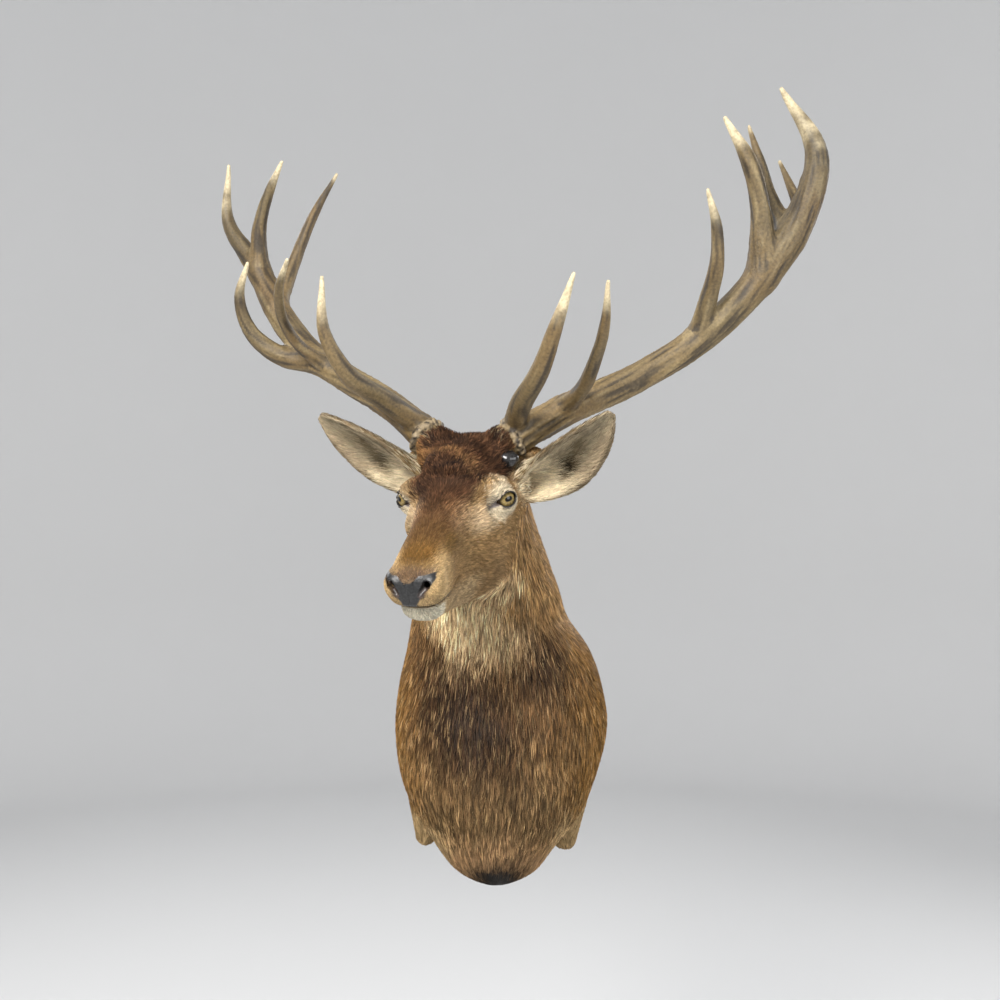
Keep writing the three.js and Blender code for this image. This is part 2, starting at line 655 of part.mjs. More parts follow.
function addHead(antlerSpace) {
  let fleshy = headSolid(0);
  const headSpace = headSolid(GAP);
  let earSpace = null;
  for (const [name, side] of Object.entries(SIDES)) {
    fleshy = fleshy.subtract(eyeOpening(side)).subtract(eyeSolid(side, GAP));
    addPart(`eye_${name}`, eyeSolid(side), 'glass');
    addPart(`ear_${name}`, largestPiece(earSolid(name).subtract(headSpace).subtract(antlerSpace)), 'earHide');
    earSpace = earSpace ? earSpace.add(earSolid(name, GAP)) : earSolid(name, GAP);
  }
  fleshy = fleshy.subtract(antlerSpace);
  const pad = faceEllipsoid(NOSE_PAD.at, NOSE_PAD.size);
  addPart('nose_pad', largestPiece(fleshy.intersect(pad)), 'noseSkin');
  fleshy = fleshy.subtract(faceEllipsoid(NOSE_PAD.at, NOSE_PAD.size.map((value) => value + GAP)));
  const mouth = dot(UPWARD, fromFace([0, 0, MOUTH_HEIGHT]));
  addPart('head', largestPiece(fleshy.trimByPlane(UPWARD, mouth + GAP / 2)), 'hide');
  const downward = UPWARD.map((value) => -value);
  addPart('lower_jaw', largestPiece(fleshy.trimByPlane(downward, -mouth + GAP / 2)), 'jawHide');
  return earSpace;
}

function addBody(earSpace, antlerSpace) {
  const wall = [0, -1, 0];
  let body = bodySolid(0).trimByPlane(wall, TRUNK_BACK).subtract(headSolid(GAP));
  body = body.subtract(earSpace).subtract(antlerSpace).subtract(boardSolid(GAP));
  for (const side of ['left', 'right']) {
    const whole = forelegSolid(FORELEGS[side], 0).trimByPlane(wall, TRUNK_BACK);
    const leg = whole.trimByPlane([0, 0, 1], FORELEG_CUT);
    addPart(`foreleg_${side}`, largestPiece(leg.subtract(bodySolid(GAP))), 'neckHide');
  }
  const slope = radians(SHOULDER_SEAM.slope);
  const seam = [0, -Math.sin(slope), Math.cos(slope)];
  const offset = dot(seam, [0, -170, SHOULDER_SEAM.height]);
  addPart('neck', largestPiece(body.trimByPlane(seam, offset + GAP / 2)), 'neckHide');
  addPart('trunk', largestPiece(body.trimByPlane(seam.map((value) => -value), -offset + GAP / 2)), 'hide');
}

function addBoard() {
  let board = boardSolid().subtract(hangerSolid(GAP));
  let plate = hangerSolid();
  for (const [name, side] of Object.entries(SIDES)) {
    board = board.subtract(screwSolid(side, GAP));
    plate = plate.subtract(screwSolid(side, GAP));
    addPart(`hanger_screw_${name}`, screwSolid(side), 'steel');
  }
  addPart('hanger_plate', plate, 'steel');
  addPart('backboard', board, 'pine');
}

const antlerSpace = addAntlers();
addBody(addHead(antlerSpace), antlerSpace);
addBoard();

export default group;
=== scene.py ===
"""Red deer stag shoulder mount: skin, coat, antlers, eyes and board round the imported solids."""
import math
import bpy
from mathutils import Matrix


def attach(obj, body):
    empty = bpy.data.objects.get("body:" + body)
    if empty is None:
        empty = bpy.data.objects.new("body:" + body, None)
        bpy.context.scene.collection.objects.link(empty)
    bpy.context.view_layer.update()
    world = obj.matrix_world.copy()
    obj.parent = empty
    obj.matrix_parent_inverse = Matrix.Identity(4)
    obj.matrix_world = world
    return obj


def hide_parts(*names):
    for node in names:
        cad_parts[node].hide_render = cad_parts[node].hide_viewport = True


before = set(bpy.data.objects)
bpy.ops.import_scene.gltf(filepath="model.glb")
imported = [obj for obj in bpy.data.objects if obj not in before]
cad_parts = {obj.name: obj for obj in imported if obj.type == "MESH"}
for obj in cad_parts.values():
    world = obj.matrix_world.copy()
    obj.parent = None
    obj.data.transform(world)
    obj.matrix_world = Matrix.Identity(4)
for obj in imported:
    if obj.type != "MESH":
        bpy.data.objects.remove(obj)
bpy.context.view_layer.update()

from concurrent.futures import ThreadPoolExecutor
from itertools import product

import bpy
import numpy as np
from mathutils import Vector

MM = 0.001
RNG = np.random.default_rng(20)

# ------------------------------------------------------------------ sizes, in millimetres
HEAD_YAW, HEAD_PITCH = 16.5, 14.0
HEAD_CENTRE = np.array([-63.0, -470.0, 344.0])
MUZZLE_DRIFT, MUZZLE_DRIFT_FROM = 5.0, 200.0

# height, left side, right side, back, front (distances from the wall) of neck and trunk
BODY_SECTIONS = [
    [-300, -18, 2, 158, 186],
    [-276, -45, 31, 112, 226],
    [-256, -76, 64, 55, 252],
    [-228, -102, 88, -30, 281],
    [-175, -138, 132, -62, 312],
    [-110, -165, 160, -72, 330],
    [-30, -174, 178, -75, 340],
    [40, -167, 168, -72, 342],
    [95, -154, 148, -62, 352],
    [150, -143, 111, -36, 374],
    [195, -130, 96, 2, 394],
    [240, -108, 79, 62, 406],
    [290, -92, 61, 130, 410],
    [340, -84, 44, 196, 408],
    [390, -76, 26, 256, 396],
    [440, -60, 8, 316, 384],
]
BODY_SQUARENESS, BODY_TOP, BODY_BOTTOM = 2.3, 418.0, -281.0
TRUNK_BACK = 3.0

# place along the face, bottom, top, half width
SKULL_SECTIONS = [
    [212, -88, -48, 26],
    [200, -95, -41, 34],
    [180, -99, -33, 38],
    [150, -98, -20, 38],
    [110, -96, -3, 37],
    [70, -97, 13, 43],
    [40, -101, 26, 51],
    [10, -106, 38, 58],
    [-30, -110, 52, 62],
    [-70, -106, 62, 63],
    [-110, -88, 64, 58],
    [-150, -55, 46, 42],
]
JAW_SECTIONS = [
    [194, -112, -84, 20],
    [178, -119, -80, 27],
    [150, -124, -72, 30],
    [110, -131, -62, 30],
    [60, -141, -55, 36],
    [10, -149, -50, 46],
    [-30, -149, -45, 50],
    [-60, -140, -40, 48],
    [-92, -116, -36, 38],
]
HEAD_SQUARENESS = 2.35
NOSE_END, POLL_END, CHIN_END, JAW_ANGLE_END = 208.0, -142.0, 186.0, -84.0
HEAD_TO_NECK_BLEND = 58.0
NOSE_MIDDLE = -5.0

EYE_CENTRE = np.array([-6.0, 68.0, -3.0])
EYE_RADIUS = 16.6
EYE_OUTWARD, EYE_UP, EYE_TILT = 45.0, 4.0, 10.0
LID_THICKNESS = 3.0
EYE_FRONT, EYE_REAR, UPPER_LID, LOWER_LID = 15.2, 14.2, 9.6, 9.0

KNOB_PLACE = [-62, 61, 40]

EAR_ROOT = [-110, 62, 10]
EAR_BEND = {1: [-96, 138, 14], -1: [-96, 136, 36]}
EAR_TIP = {1: [-66, 210, 99], -1: [-66, 216, 105]}
EAR_WALL = 4.6
EAR_ROLL = [[0, 150], [0.45, 66], [1, 34]]
EAR_WIDTHS = [[0, 46], [0.18, 51], [0.5, 75], [0.78, 55], [0.94, 26], [1, 9]]
EAR_FACING = [0.82, 0.1, -0.42]

FORELEGS = [
    ([112, 84, -128], [112, 62, -244], 50, 21),
    ([-116, 84, -128], [-128, 62, -238], 50, 19),
]
FORELEG_CUT = -262.0

# ------------------------------------------------------------------ camera, level and square to the wall
CAMERA_PLACE = (0.0, -2.1, 0.34)
camera_data = bpy.data.cameras.new("camera")
camera_data.lens = 42.4
camera_data.sensor_width = 36.0
camera_data.clip_end = 60.0
camera = bpy.data.objects.new("camera", camera_data)
camera.location = CAMERA_PLACE
camera.rotation_euler = (math.pi / 2, 0, 0)
bpy.context.scene.collection.objects.link(camera)
bpy.context.scene.camera = camera


# ------------------------------------------------------------------ arithmetic on arrays
def unit(v):
    v = np.asarray(v, float)
    return v / np.maximum(np.linalg.norm(v, axis=-1, keepdims=True), 1e-9)


def length(v):
    return np.linalg.norm(v, axis=1)


def mound(x, y, centre, size):
    """1 at a place in the plane of x and y, falling away as a bell."""
    return np.exp(-(((x - centre[0]) / size[0]) ** 2 + ((y - centre[1]) / size[1]) ** 2))


def ramp(low, high, x):
    t = np.clip((x - low) / (high - low), 0.0, 1.0)
    return t * t * (3 - 2 * t)


def bump(x, centre, width):
    return np.exp(-((x - centre) / width) ** 2)


def smooth_min(a, b, blend):
    overlap = np.maximum(blend - np.abs(a - b), 0.0) / blend
    return np.minimum(a, b) - overlap * overlap * blend / 4


def smooth_max(a, b, blend):
    return -smooth_min(-a, -b, blend)


def in_parts(function, *arrays):
    """The function's result over long arrays, worked out in parts side by side."""
    parts = max(1, min(48, len(arrays[0]) // 4000))
    pieces = list(zip(*(np.array_split(array, parts) for array in arrays)))
    with ThreadPoolExecutor(4) as pool:
        results = list(pool.map(lambda piece: function(*piece), pieces))
    if isinstance(results[0], tuple):
        return tuple(np.concatenate(part) for part in zip(*results))
    return np.concatenate(results)


def smooth_table(rows, samples=800):
    """Smooth curves through the rows; the first column is the place, the rest are values."""
    rows = np.array(rows, float)
    if rows[0, 0] > rows[-1, 0]:
        rows = rows[::-1]
    before = np.maximum(np.arange(len(rows)) - 1, 0)
    after = np.minimum(np.arange(len(rows)) + 1, len(rows) - 1)
    slopes = (rows[after] - rows[before]) / (rows[after, :1] - rows[before, :1])
    place = np.linspace(rows[0, 0], rows[-1, 0], samples)
    low = np.clip(np.searchsorted(rows[:, 0], place, side="right") - 1, 0, len(rows) - 2)
    span = (rows[low + 1, 0] - rows[low, 0])[:, None]
    t = (place - rows[low, 0])[:, None] / span
    values = ((2 * t**3 - 3 * t**2 + 1) * rows[low] + (3 * t**2 - 2 * t**3) * rows[low + 1]
              + (t**3 - 2 * t**2 + t) * span * slopes[low] + (t**3 - t**2) * span * slopes[low + 1])
    return lambda x: [np.interp(x, place, values[:, c]) for c in range(1, rows.shape[1])]


def cell_number(cell, salt):
    """A whole number for each cell that looks random and is always the same."""
    key = cell[:, 0] * 73856093 ^ cell[:, 1] * 19349663 ^ cell[:, 2] * 83492791 ^ salt
    return (key ^ (key >> 13)) * 1274126177 & 0x7FFFFFFF


def lattice_noise(points, scale, seed=0):
    """Smooth noise in -1..1; scale is the size of a lump, one number or one per axis."""
    p = np.asarray(points, float) / np.asarray(scale, float) + 37.7 * (seed + 1)
    cell = np.floor(p).astype(np.int64)
    t = p - cell
    t = t * t * (3 - 2 * t)
    total = 0.0
    for corner in product((0, 1), repeat=3):
        key = cell_number(cell + np.array(corner), seed * 2654435761 + 12345)
        key = (key ^ (key >> 15)) & 0xFFFF
        x, y, z = (t[:, i] if corner[i] else 1 - t[:, i] for i in range(3))
        total = total + x * y * z * key
    return total / 32767.5 - 1.0


def nearest_lump(points, size, seed=0):
    """Offset from each point to the nearest of a scatter of centres one per cell, and its number."""
    p = np.asarray(points, float) / size
    cell = np.floor(p).astype(np.int64)
    best = np.full(len(p), 1e9)
    offset = np.zeros((len(p), 3))
    number = np.zeros(len(p))
    for step in product((-1, 0, 1), repeat=3):
        near = cell + np.array(step)
        key = cell_number(near, seed * 7919 + 11)
        jitter = np.stack([key & 1023, (key >> 10) & 1023, (key >> 20) & 1023], 1) / 1023.0
        away = near + jitter - p
        distance = (away ** 2).sum(1)
        closer = distance < best
        best = np.where(closer, distance, best)
        offset[closer] = away[closer]
        number = np.where(closer, ((key ^ (key >> 7)) & 0xFFFF) / 65535.0, number)
    return offset * size, number


# ------------------------------------------------------------------ the face axes
YAW, PITCH = math.radians(HEAD_YAW), math.radians(HEAD_PITCH)
FORWARD = np.array([-math.sin(YAW) * math.cos(PITCH), -math.cos(YAW) * math.cos(PITCH), -math.sin(PITCH)])
OUTWARD = np.array([math.cos(YAW), -math.sin(YAW), 0.0])
UPWARD = np.array([-math.sin(YAW) * math.sin(PITCH), -math.cos(YAW) * math.sin(PITCH), math.cos(PITCH)])
FACE = np.stack([FORWARD, OUTWARD, UPWARD])        # rows: forward, outward, up


def to_face(p):
    return (p - HEAD_CENTRE) @ FACE.T


def turn_from_face(v):
    return np.asarray(v, float) @ FACE


def from_face(v):
    return HEAD_CENTRE + turn_from_face(v)


def muzzle_drift(forward):
    return MUZZLE_DRIFT * np.maximum(forward / MUZZLE_DRIFT_FROM, 0) ** 1.5


# ------------------------------------------------------------------ distance fields, in millimetres
def oval_distance(x, y, half_x, half_y, power):
    u, v = np.abs(x) / half_x, np.abs(y) / half_y
    level = np.maximum((u ** power + v ** power) ** (1 / power), 1e-3)
    steep = np.hypot((u / level) ** (power - 1) / half_x, (v / level) ** (power - 1) / half_y)
    return (level - 1) / np.maximum(steep, 1e-4)


def ellipsoid_distance(p, centre, size):
    q = (p - np.array(centre, float)) / np.array(size, float)
    level = np.maximum(length(q), 1e-3)
    steep = length(q / np.array(size, float))
    return level * (level - 1) / np.maximum(steep, 1e-4)


def cone_distance(p, start, end, radius_start, radius_end):
    start, axis = np.array(start, float), np.array(end, float) - np.array(start, float)
    offset = p - start
    t = np.clip(offset @ axis / (axis @ axis), 0, 1)
    radius = radius_start + (radius_end - radius_start) * t
    return length(offset - t[:, None] * axis) - radius


BODY_AT = smooth_table(BODY_SECTIONS)
SKULL_AT = smooth_table(SKULL_SECTIONS)
JAW_AT = smooth_table(JAW_SECTIONS)


def body_distance(p):
    left, right, back, front = BODY_AT(p[:, 2])
    side = oval_distance(p[:, 0] - (left + right) / 2, -p[:, 1] - (back + front) / 2,
                         (right - left) / 2, (front - back) / 2, BODY_SQUARENESS)
    return smooth_max(smooth_max(side, p[:, 2] - BODY_TOP, 40), BODY_BOTTOM - p[:, 2], 24)


def drifted(face):
    return np.stack([face[:, 0], face[:, 1] - muzzle_drift(face[:, 0]), face[:, 2]], 1)


def folded(face):
    """Face coordinates with the animal's two sides laid on each other."""
    return np.stack([face[:, 0], np.abs(face[:, 1]), face[:, 2]], 1)


# masses over the skull and jaw: form, its places and sizes, and how widely it blends in
HEAD_MASSES = [
    (ellipsoid_distance, [-26, 36, -76], [58, 20, 46], 34),      # cheek
    (cone_distance, [22, 48, -32], [-76, 55, -14], 14, 15, 34),  # cheekbone
    (ellipsoid_distance, [4, 57, 5], [33, 20, 24], 26),          # brow
    (cone_distance, [-24, 64, 10], [-26, 64, -18], 14, 14, 14),  # rear of the orbit
    (cone_distance, [-28, 62, -12], [-84, 59, -6], 14, 13, 14),  # arch to the ear
    (ellipsoid_distance, [190, 26, -64], [19, 14, 18], 10),      # nostril wing
    (ellipsoid_distance, [-34, 0, 44], [56, 44, 24], 34),        # forehead curl
    (cone_distance, [-66, 40, 36], [-84, 51, 58], 28, 29, 16),   # pedicle
    (cone_distance, [-104, 46, 2], [-108, 84, 22], 34, 27, 22),  # ear root
]


def head_distance(face):
    """face: drifted face coordinates."""
    half = folded(face)
    forward, outward, up = face.T
    forms = []
    for table, front, rear, rounding in ((SKULL_AT, NOSE_END, POLL_END, 40),
                                         (JAW_AT, CHIN_END, JAW_ANGLE_END, 30)):
        bottom, top, wide = table(forward)
        d = oval_distance(outward, up - (bottom + top) / 2, wide, (top - bottom) / 2, HEAD_SQUARENESS)
        forms.append(smooth_max(smooth_max(d, forward - front, 18), rear - forward, rounding))
    d = smooth_min(*forms, 10)
    for form, *values, blend in HEAD_MASSES:
        d = smooth_min(d, form(half, *values), blend)
    return d


def measured(p):
    """Drifted face coordinates, the same with the sides folded, and how far the head and body are."""
    face = drifted(to_face(p))
    return face, folded(face), head_distance(face), body_distance(p)


def foreleg_distance(p):
    q = p * np.array([1, -1, 1])
    legs = [cone_distance(q, top, foot, a, b) for top, foot, a, b in FORELEGS]
    return np.maximum(np.minimum(*legs), FORELEG_CUT - p[:, 2])


def coat_depth(p, face, head, body):
    """How far the skin lies under the tips of the coat."""
    forward, outward, up = face.T
    on_head = ramp(-18, 22, body - head)
    muzzle = 1.8 + 1.4 * ramp(120, 20, forward)
    forehead = 5.0 * ramp(30, -20, forward) * ramp(10, 40, up) * ramp(78, 50, np.abs(outward))
    jaw = 3.5 * ramp(60, -40, forward) * ramp(-60, -120, up)
    on_face = muzzle + forehead + jaw
    mane = 4.0 * ramp(-200, -320, p[:, 1]) * ramp(-230, -120, p[:, 2])
    on_neck = 9.5 + mane - 4.0 * ramp(-190, -260, p[:, 2])
    return on_neck + (on_face - on_neck) * on_head


def ears():
    """For each side: the ear's spine and the axes of its sections, and the tables of its form."""
    t = np.linspace(0, 1, 161)[:, None]
    result = []
    for side in (1, -1):
        mirror = np.array([1, side, 1])
        places = (EAR_ROOT, EAR_BEND[side], EAR_TIP[side])
        root, bend, tip = (from_face(np.array(q) * mirror) for q in places)
        spine = (1 - t) ** 2 * root + 2 * t * (1 - t) * bend + t ** 2 * tip
        along = unit(2 * (1 - t) * (bend - root) + 2 * t * (tip - bend))
        across = unit(np.cross(turn_from_face(np.array(EAR_FACING) * mirror), along))
        out = unit(np.cross(along, across))
        result.append((side, spine, along, across, out))
    return result


EARS = ears()
ROLL_AT, WIDTH_AT = smooth_table(EAR_ROLL), smooth_table(EAR_WIDTHS)


def ear_place(p, ear):
    """Place along the ear, angle round its cup, signed distance outside its middle surface, distance."""
    _, spine, along, across, out = ear
    t = np.zeros(len(p))
    for start in range(0, len(p), 20000):
        block = p[start:start + 20000]
        squared = (block ** 2).sum(1)[:, None] - 2 * block @ spine.T + (spine ** 2).sum(1)
        t[start:start + 20000] = squared.argmin(1)
    index = t.astype(int)
    offset = p - spine[index]
    ahead = (offset * along[index]).sum(1)
    sideways = (offset * across[index]).sum(1)
    outwards = (offset * out[index]).sum(1)
    t = np.clip(index / 160 + ahead / 190, 0, 1)
    beyond = np.where((index == 0) | (index == 160), np.abs(ahead), 0)
    roll = np.radians(ROLL_AT(t)[0])
    radius = WIDTH_AT(t)[0] / 2 / np.sin(np.minimum(roll, math.pi / 2))
    angle = np.arctan2(sideways, radius - outwards)
    held = np.clip(angle, -roll, roll)
    shell = np.hypot(sideways, radius - outwards) - radius
    nearest = np.stack([radius * np.sin(held), radius - radius * np.cos(held)], 1)
    flat = np.hypot(sideways - nearest[:, 0], outwards - nearest[:, 1])
    return t, angle / roll, shell, np.hypot(flat, beyond)


def eye_frame():
    outward, up = math.radians(EYE_OUTWARD), math.radians(EYE_UP)
    look = np.array([math.cos(outward) * math.cos(up), math.sin(outward) * math.cos(up), math.sin(up)])
    level = unit(np.array([1.0, 0, 0]) - look * look[0])
    over = unit(np.cross(look, level))
    over = over if over[2] > 0 else -over
    tilt = math.radians(EYE_TILT)
    along = math.cos(tilt) * level - math.sin(tilt) * over
    return look, along, unit(np.cross(along, look)) * (1 if np.cross(along, look)[2] > 0 else -1)


EYE_LOOK, EYE_ALONG, EYE_OVER = eye_frame()


def nose_frame(face):
    """Face coordinates folded about the middle of the nose, which lies a little to one side."""
    aside = face[:, 1] - NOSE_MIDDLE
    return np.stack([face[:, 0], np.maximum(aside, -1.2 * aside), face[:, 2]], 1)


def eye_place(half):
    """half: face coordinates with the sides folded together. Along towards the nose, up, out, lid line."""
    e = half - EYE_CENTRE
    a, b, c = e @ EYE_ALONG, e @ EYE_OVER, e @ EYE_LOOK
    span = np.clip(np.abs(a) / np.where(a > 0, EYE_FRONT, EYE_REAR), 0, 1.6)
    lid = np.where(b > 0, UPPER_LID, LOWER_LID) * (1 - span ** 2.3)
    return a, b, c, np.abs(b) - lid


def skin_distance(p, detail=True):
    face, half, head, body = measured(p)
    d = smooth_min(body, head, HEAD_TO_NECK_BLEND) + coat_depth(p, face, head, body)
    d = smooth_min(d, foreleg_distance(p) + 4, 22)
    d = np.maximum(d, p[:, 1] + TRUNK_BACK + 1)
    if not detail:
        return d
    near = np.abs(d) < 40
    near &= (p[:, 2] > 120)
    near |= (half[:, 1] > 60) & (p[:, 2] > 300)
    if near.any():
        d[near] = face_details(d[near], p[near], half[near], face[near])
    return d


def tear_duct(a, b, c):
    return cone_distance(np.stack([a, b, c], 1), [14, 1.5, 12.0], [31, -1.0, 8.8], 3.9, 1.8)


def mouth_line(forward):
    return -94 + 1.5 * np.sin((forward - 110) / 28) + 12 * ramp(134, 90, forward)


def ear_zone(p, ear):
    low, high = ear[1].min(0) - 50, ear[1].max(0) + 50
    return ((p > low) & (p < high)).all(1)


def near_ears(p):
    """Each ear with points close to it: the ear, which points, and what ear_place says of them."""
    for ear in EARS:
        close = ear_zone(p, ear)
        if close.any():
            yield ear, close, *ear_place(p[close], ear)


def ear_mouth(ear):
    """Two points ahead of the cup's inner wall, between which its root stays open."""
    _, spine, _, _, out = ear
    return spine[32] + 27 * out[32], spine[72] + 62 * out[72]


# depth, place and size along and up the face, and the sides' distance where it starts and is full
FACE_DENTS = [
    (3.0, (40, 2), (16, 12), 30, 45),
    (0.8, (10, -56), (50, 12), 30, 45),
    (2.0, (160, -62), (12, 14), 22, 34),
    (1.2, (-46, 20), (15, 12), 45, 60),
]


def face_details(d, p, half, face):
    forward, side, up = half.T
    # hollows in front of the eye, under the cheekbone, behind the nostrils and behind the eye
    for height, centre, size, inner, outer in FACE_DENTS:
        d = d + height * mound(forward, up, centre, size) * ramp(inner, outer, side)
    # mouth line, and lips that swell a little beside it
    mouth = mouth_line(forward)
    d = d + 3.8 * bump(up, mouth, 2.3) * ramp(82, 98, forward)
    d = d - 1.2 * bump(up, mouth + 6, 4.0) * ramp(108, 130, forward)
    # eye: lids over the ball, open along the lid line, with a groove at the front corner
    a, b, c, line = eye_place(half)
    ball = np.sqrt(a * a + b * b + c * c)
    by_eye = ramp(46, 34, ball)
    dish = np.maximum(10.5 + 9 * ramp(3, 18, b) - 3 * ramp(4, 22, a) - c, np.hypot(a, b) - 34)
    d = smooth_max(d, -dish, 14)
    lids = np.maximum(ball - (EYE_RADIUS + LID_THICKNESS), -c)
    d = smooth_min(d, lids, 13) - 1.0 * bump(line, 1.6, 1.5) * ramp(4, 9, c) * by_eye
    fold = 1.5 * bump(b - 15.0 + 0.03 * a * a, 0, 1.7) * ramp(20, 12, np.abs(a))
    fold = fold + 0.9 * bump(b + 14 - 0.02 * a * a, 0, 1.6) * ramp(18, 10, np.abs(a))
    d = d + fold * ramp(0, 8, c) * by_eye
    d = smooth_max(d, -tear_duct(a, b, c), 2.5)
    in_front = np.maximum(np.maximum(3 - c, EYE_RADIUS - 1.5 - ball), ball - EYE_RADIUS - 12)
    opening = np.maximum(line, in_front)
    d = smooth_max(d, -opening, 1.2)
    # nostrils, and the groove down the middle of the nose pad
    nose = nose_frame(face)
    nostril = cone_distance(nose, [208, 15, -74], [203, 26, -62], 2.8, 5.8)
    nostril = smooth_min(nostril, cone_distance(nose, [203, 26, -62], [195, 34, -55], 5.8, 3.0), 2)
    nostril = smooth_min(nostril, cone_distance(nose, [200, 27, -62], [174, 19, -64], 5.0, 3.0), 2)
    d = smooth_max(d, -nostril, 2.0)
    # soft crease from the corner of the mouth under the cheek, and the fold of the jaw
    crease = bump(up + 118 - 0.12 * (forward - 60), 0, 3.2)
    d = d + 1.6 * crease * ramp(20, 45, forward) * ramp(112, 96, forward)
    socket = ellipsoid_distance(face, KNOB_PLACE, [13, 16, 12])
    d = smooth_max(d, -socket, 3)
    d = d + 1.3 * bump(nose[:, 1], 0, 1.8) * ramp(196, 204, forward) * ramp(-64, -74, up)
    for ear, close, t, _, shell, away in near_ears(p):
        canal = np.maximum(shell + EAR_WALL / 2 + 1.5, np.maximum(0.11 - t, t - 0.46) * 190)
        canal = np.minimum(canal, cone_distance(p[close], *ear_mouth(ear), 13, 30))
        e = smooth_max(d[close], -canal, 8)
        wall = away - EAR_WALL / 2 * (1 - 0.2 * ramp(0.8, 1.0, t))
        d[close] = smooth_min(e, wall, 1 + 8 * ramp(0.5, 0.1, t))
    return d


def slope_of(field, p, step=0.4):
    value = field(p)
    return value, np.stack([field(p + step * axis) - value for axis in np.eye(3)], 1) / step


def gradient(field, p):
    return in_parts(lambda q: slope_of(field, q), p)


def settle(field, p, height=0.0, rounds=1, limit=6.0):
    """Moves points along the field's slope until the field equals the height."""
    def move(q, h):
        for _ in range(rounds):
            value, slope = slope_of(field, q)
            squared = np.maximum((slope ** 2).sum(1), 0.25)
            q = q - np.clip((value - h) / squared, -limit, limit)[:, None] * slope
        return q
    return in_parts(move, p, np.broadcast_to(np.asarray(height, float), len(p)))


# ------------------------------------------------------------------ meshes from fields
BLOCK = 8


def grid_lines(*stretches):
    """Lines from (start, step) stretches up to a last value, padded to whole blocks."""
    lines = []
    for (start, step), (end, _) in zip(stretches[:-1], stretches[1:]):
        lines.extend(np.arange(start, end - step * 0.25, step))
    step = stretches[-2][1]
    while (len(lines) - 1) % BLOCK:
        lines.append(lines[-1] + step)
    return np.array(lines, float)


def box_lines(low, high, step):
    return [grid_lines((low[i], step), (high[i], 0)) for i in range(3)]


def surface_mesh(field, xs, ys, zs):
    """Vertices and quads where a field changes sign on a box of grid lines, looked at in blocks."""
    lines = (xs, ys, zs)
    blocks = [(len(a) - 1) // BLOCK for a in lines]
    low = [a[:-1:BLOCK] for a in lines]
    high = [a[BLOCK::BLOCK] for a in lines]
    number = np.stack(np.meshgrid(*[np.arange(n) for n in blocks], indexing="ij"), -1).reshape(-1, 3)
    lows = np.stack([low[i][number[:, i]] for i in range(3)], 1)
    highs = np.stack([high[i][number[:, i]] for i in range(3)], 1)
    reach = length(highs - lows) / 2
    middle = in_parts(field, (lows + highs) / 2)
    number = number[np.abs(middle) < 1.3 * reach + 3]
    nodes = np.stack(np.meshgrid(*[np.arange(BLOCK + 1)] * 3, indexing="ij"), -1).reshape(-1, 3)
    index = (number[:, None, :] * BLOCK + nodes[None]).reshape(-1, 3)
    points = np.stack([lines[i][index[:, i]] for i in range(3)], 1)
    values = in_parts(field, points).reshape(len(number), -1)
    side = BLOCK + 1
    values = values.reshape(-1, side, side, side)
    inside = values < 0
    corners = list(product((0, 1), repeat=3))
    count = sum(inside[:, i:i + BLOCK, j:j + BLOCK, k:k + BLOCK].astype(np.int8) for i, j, k in corners)
    mixed = np.argwhere((count > 0) & (count < 8))
    cells = number[mixed[:, 0]] * BLOCK + mixed[:, 1:]
    sizes = [len(a) for a in lines]

    def in_line(cell):
        return (cell[:, 0] * sizes[1] + cell[:, 1]) * sizes[2] + cell[:, 2]

    key = in_line(cells)
    order = np.argsort(key)
    key, cells, mixed = key[order], cells[order], mixed[order]
    block, i, j, k = mixed.T
    corner_value = {c: values[block, i + c[0], j + c[1], k + c[2]] for c in corners}
    total, weight = np.zeros((len(cells), 3)), np.zeros(len(cells))
    for a in corners:
        for axis in range(3):
            if a[axis]:
                continue
            b = tuple(1 if i == axis else a[i] for i in range(3))
            va, vb = corner_value[a], corner_value[b]
            crossing = (va < 0) != (vb < 0)
            t = np.where(crossing, va / np.where(crossing, va - vb, 1), 0)
            at = np.stack([lines[i][cells[:, i] + a[i]] for i in range(3)], 1)
            at[:, axis] += t * (lines[axis][cells[:, axis] + 1] - lines[axis][cells[:, axis]])
            total += at * crossing[:, None]
            weight += crossing
    vertices = total / weight[:, None]
    quads = []
    for axis in range(3):
        ahead = [slice(0, BLOCK)] * 3
        ahead[axis] = slice(1, BLOCK + 1)
        start = inside[:, :BLOCK, :BLOCK, :BLOCK]
        end = inside[(slice(None), *ahead)]
        found = np.argwhere(start != end)
        out = start[tuple(found.T)]
        node = number[found[:, 0]] * BLOCK + found[:, 1:]
        u, v = [i for i in range(3) if i != axis]
        around = []
        for du, dv in ((0, 0), (1, 0), (1, 1), (0, 1)):
            cell = node.copy()
            cell[:, u] -= du
            cell[:, v] -= dv
            wanted = in_line(cell)
            place = np.minimum(np.searchsorted(key, wanted), len(key) - 1)
            around.append(np.where(key[place] == wanted, place, -1))
        quad = np.stack(around, 1)
        flip = ~out if axis != 1 else out
        quad[flip] = quad[flip][:, ::-1]
        quads.append(quad[(quad >= 0).all(1)])
    return vertices, np.concatenate(quads)


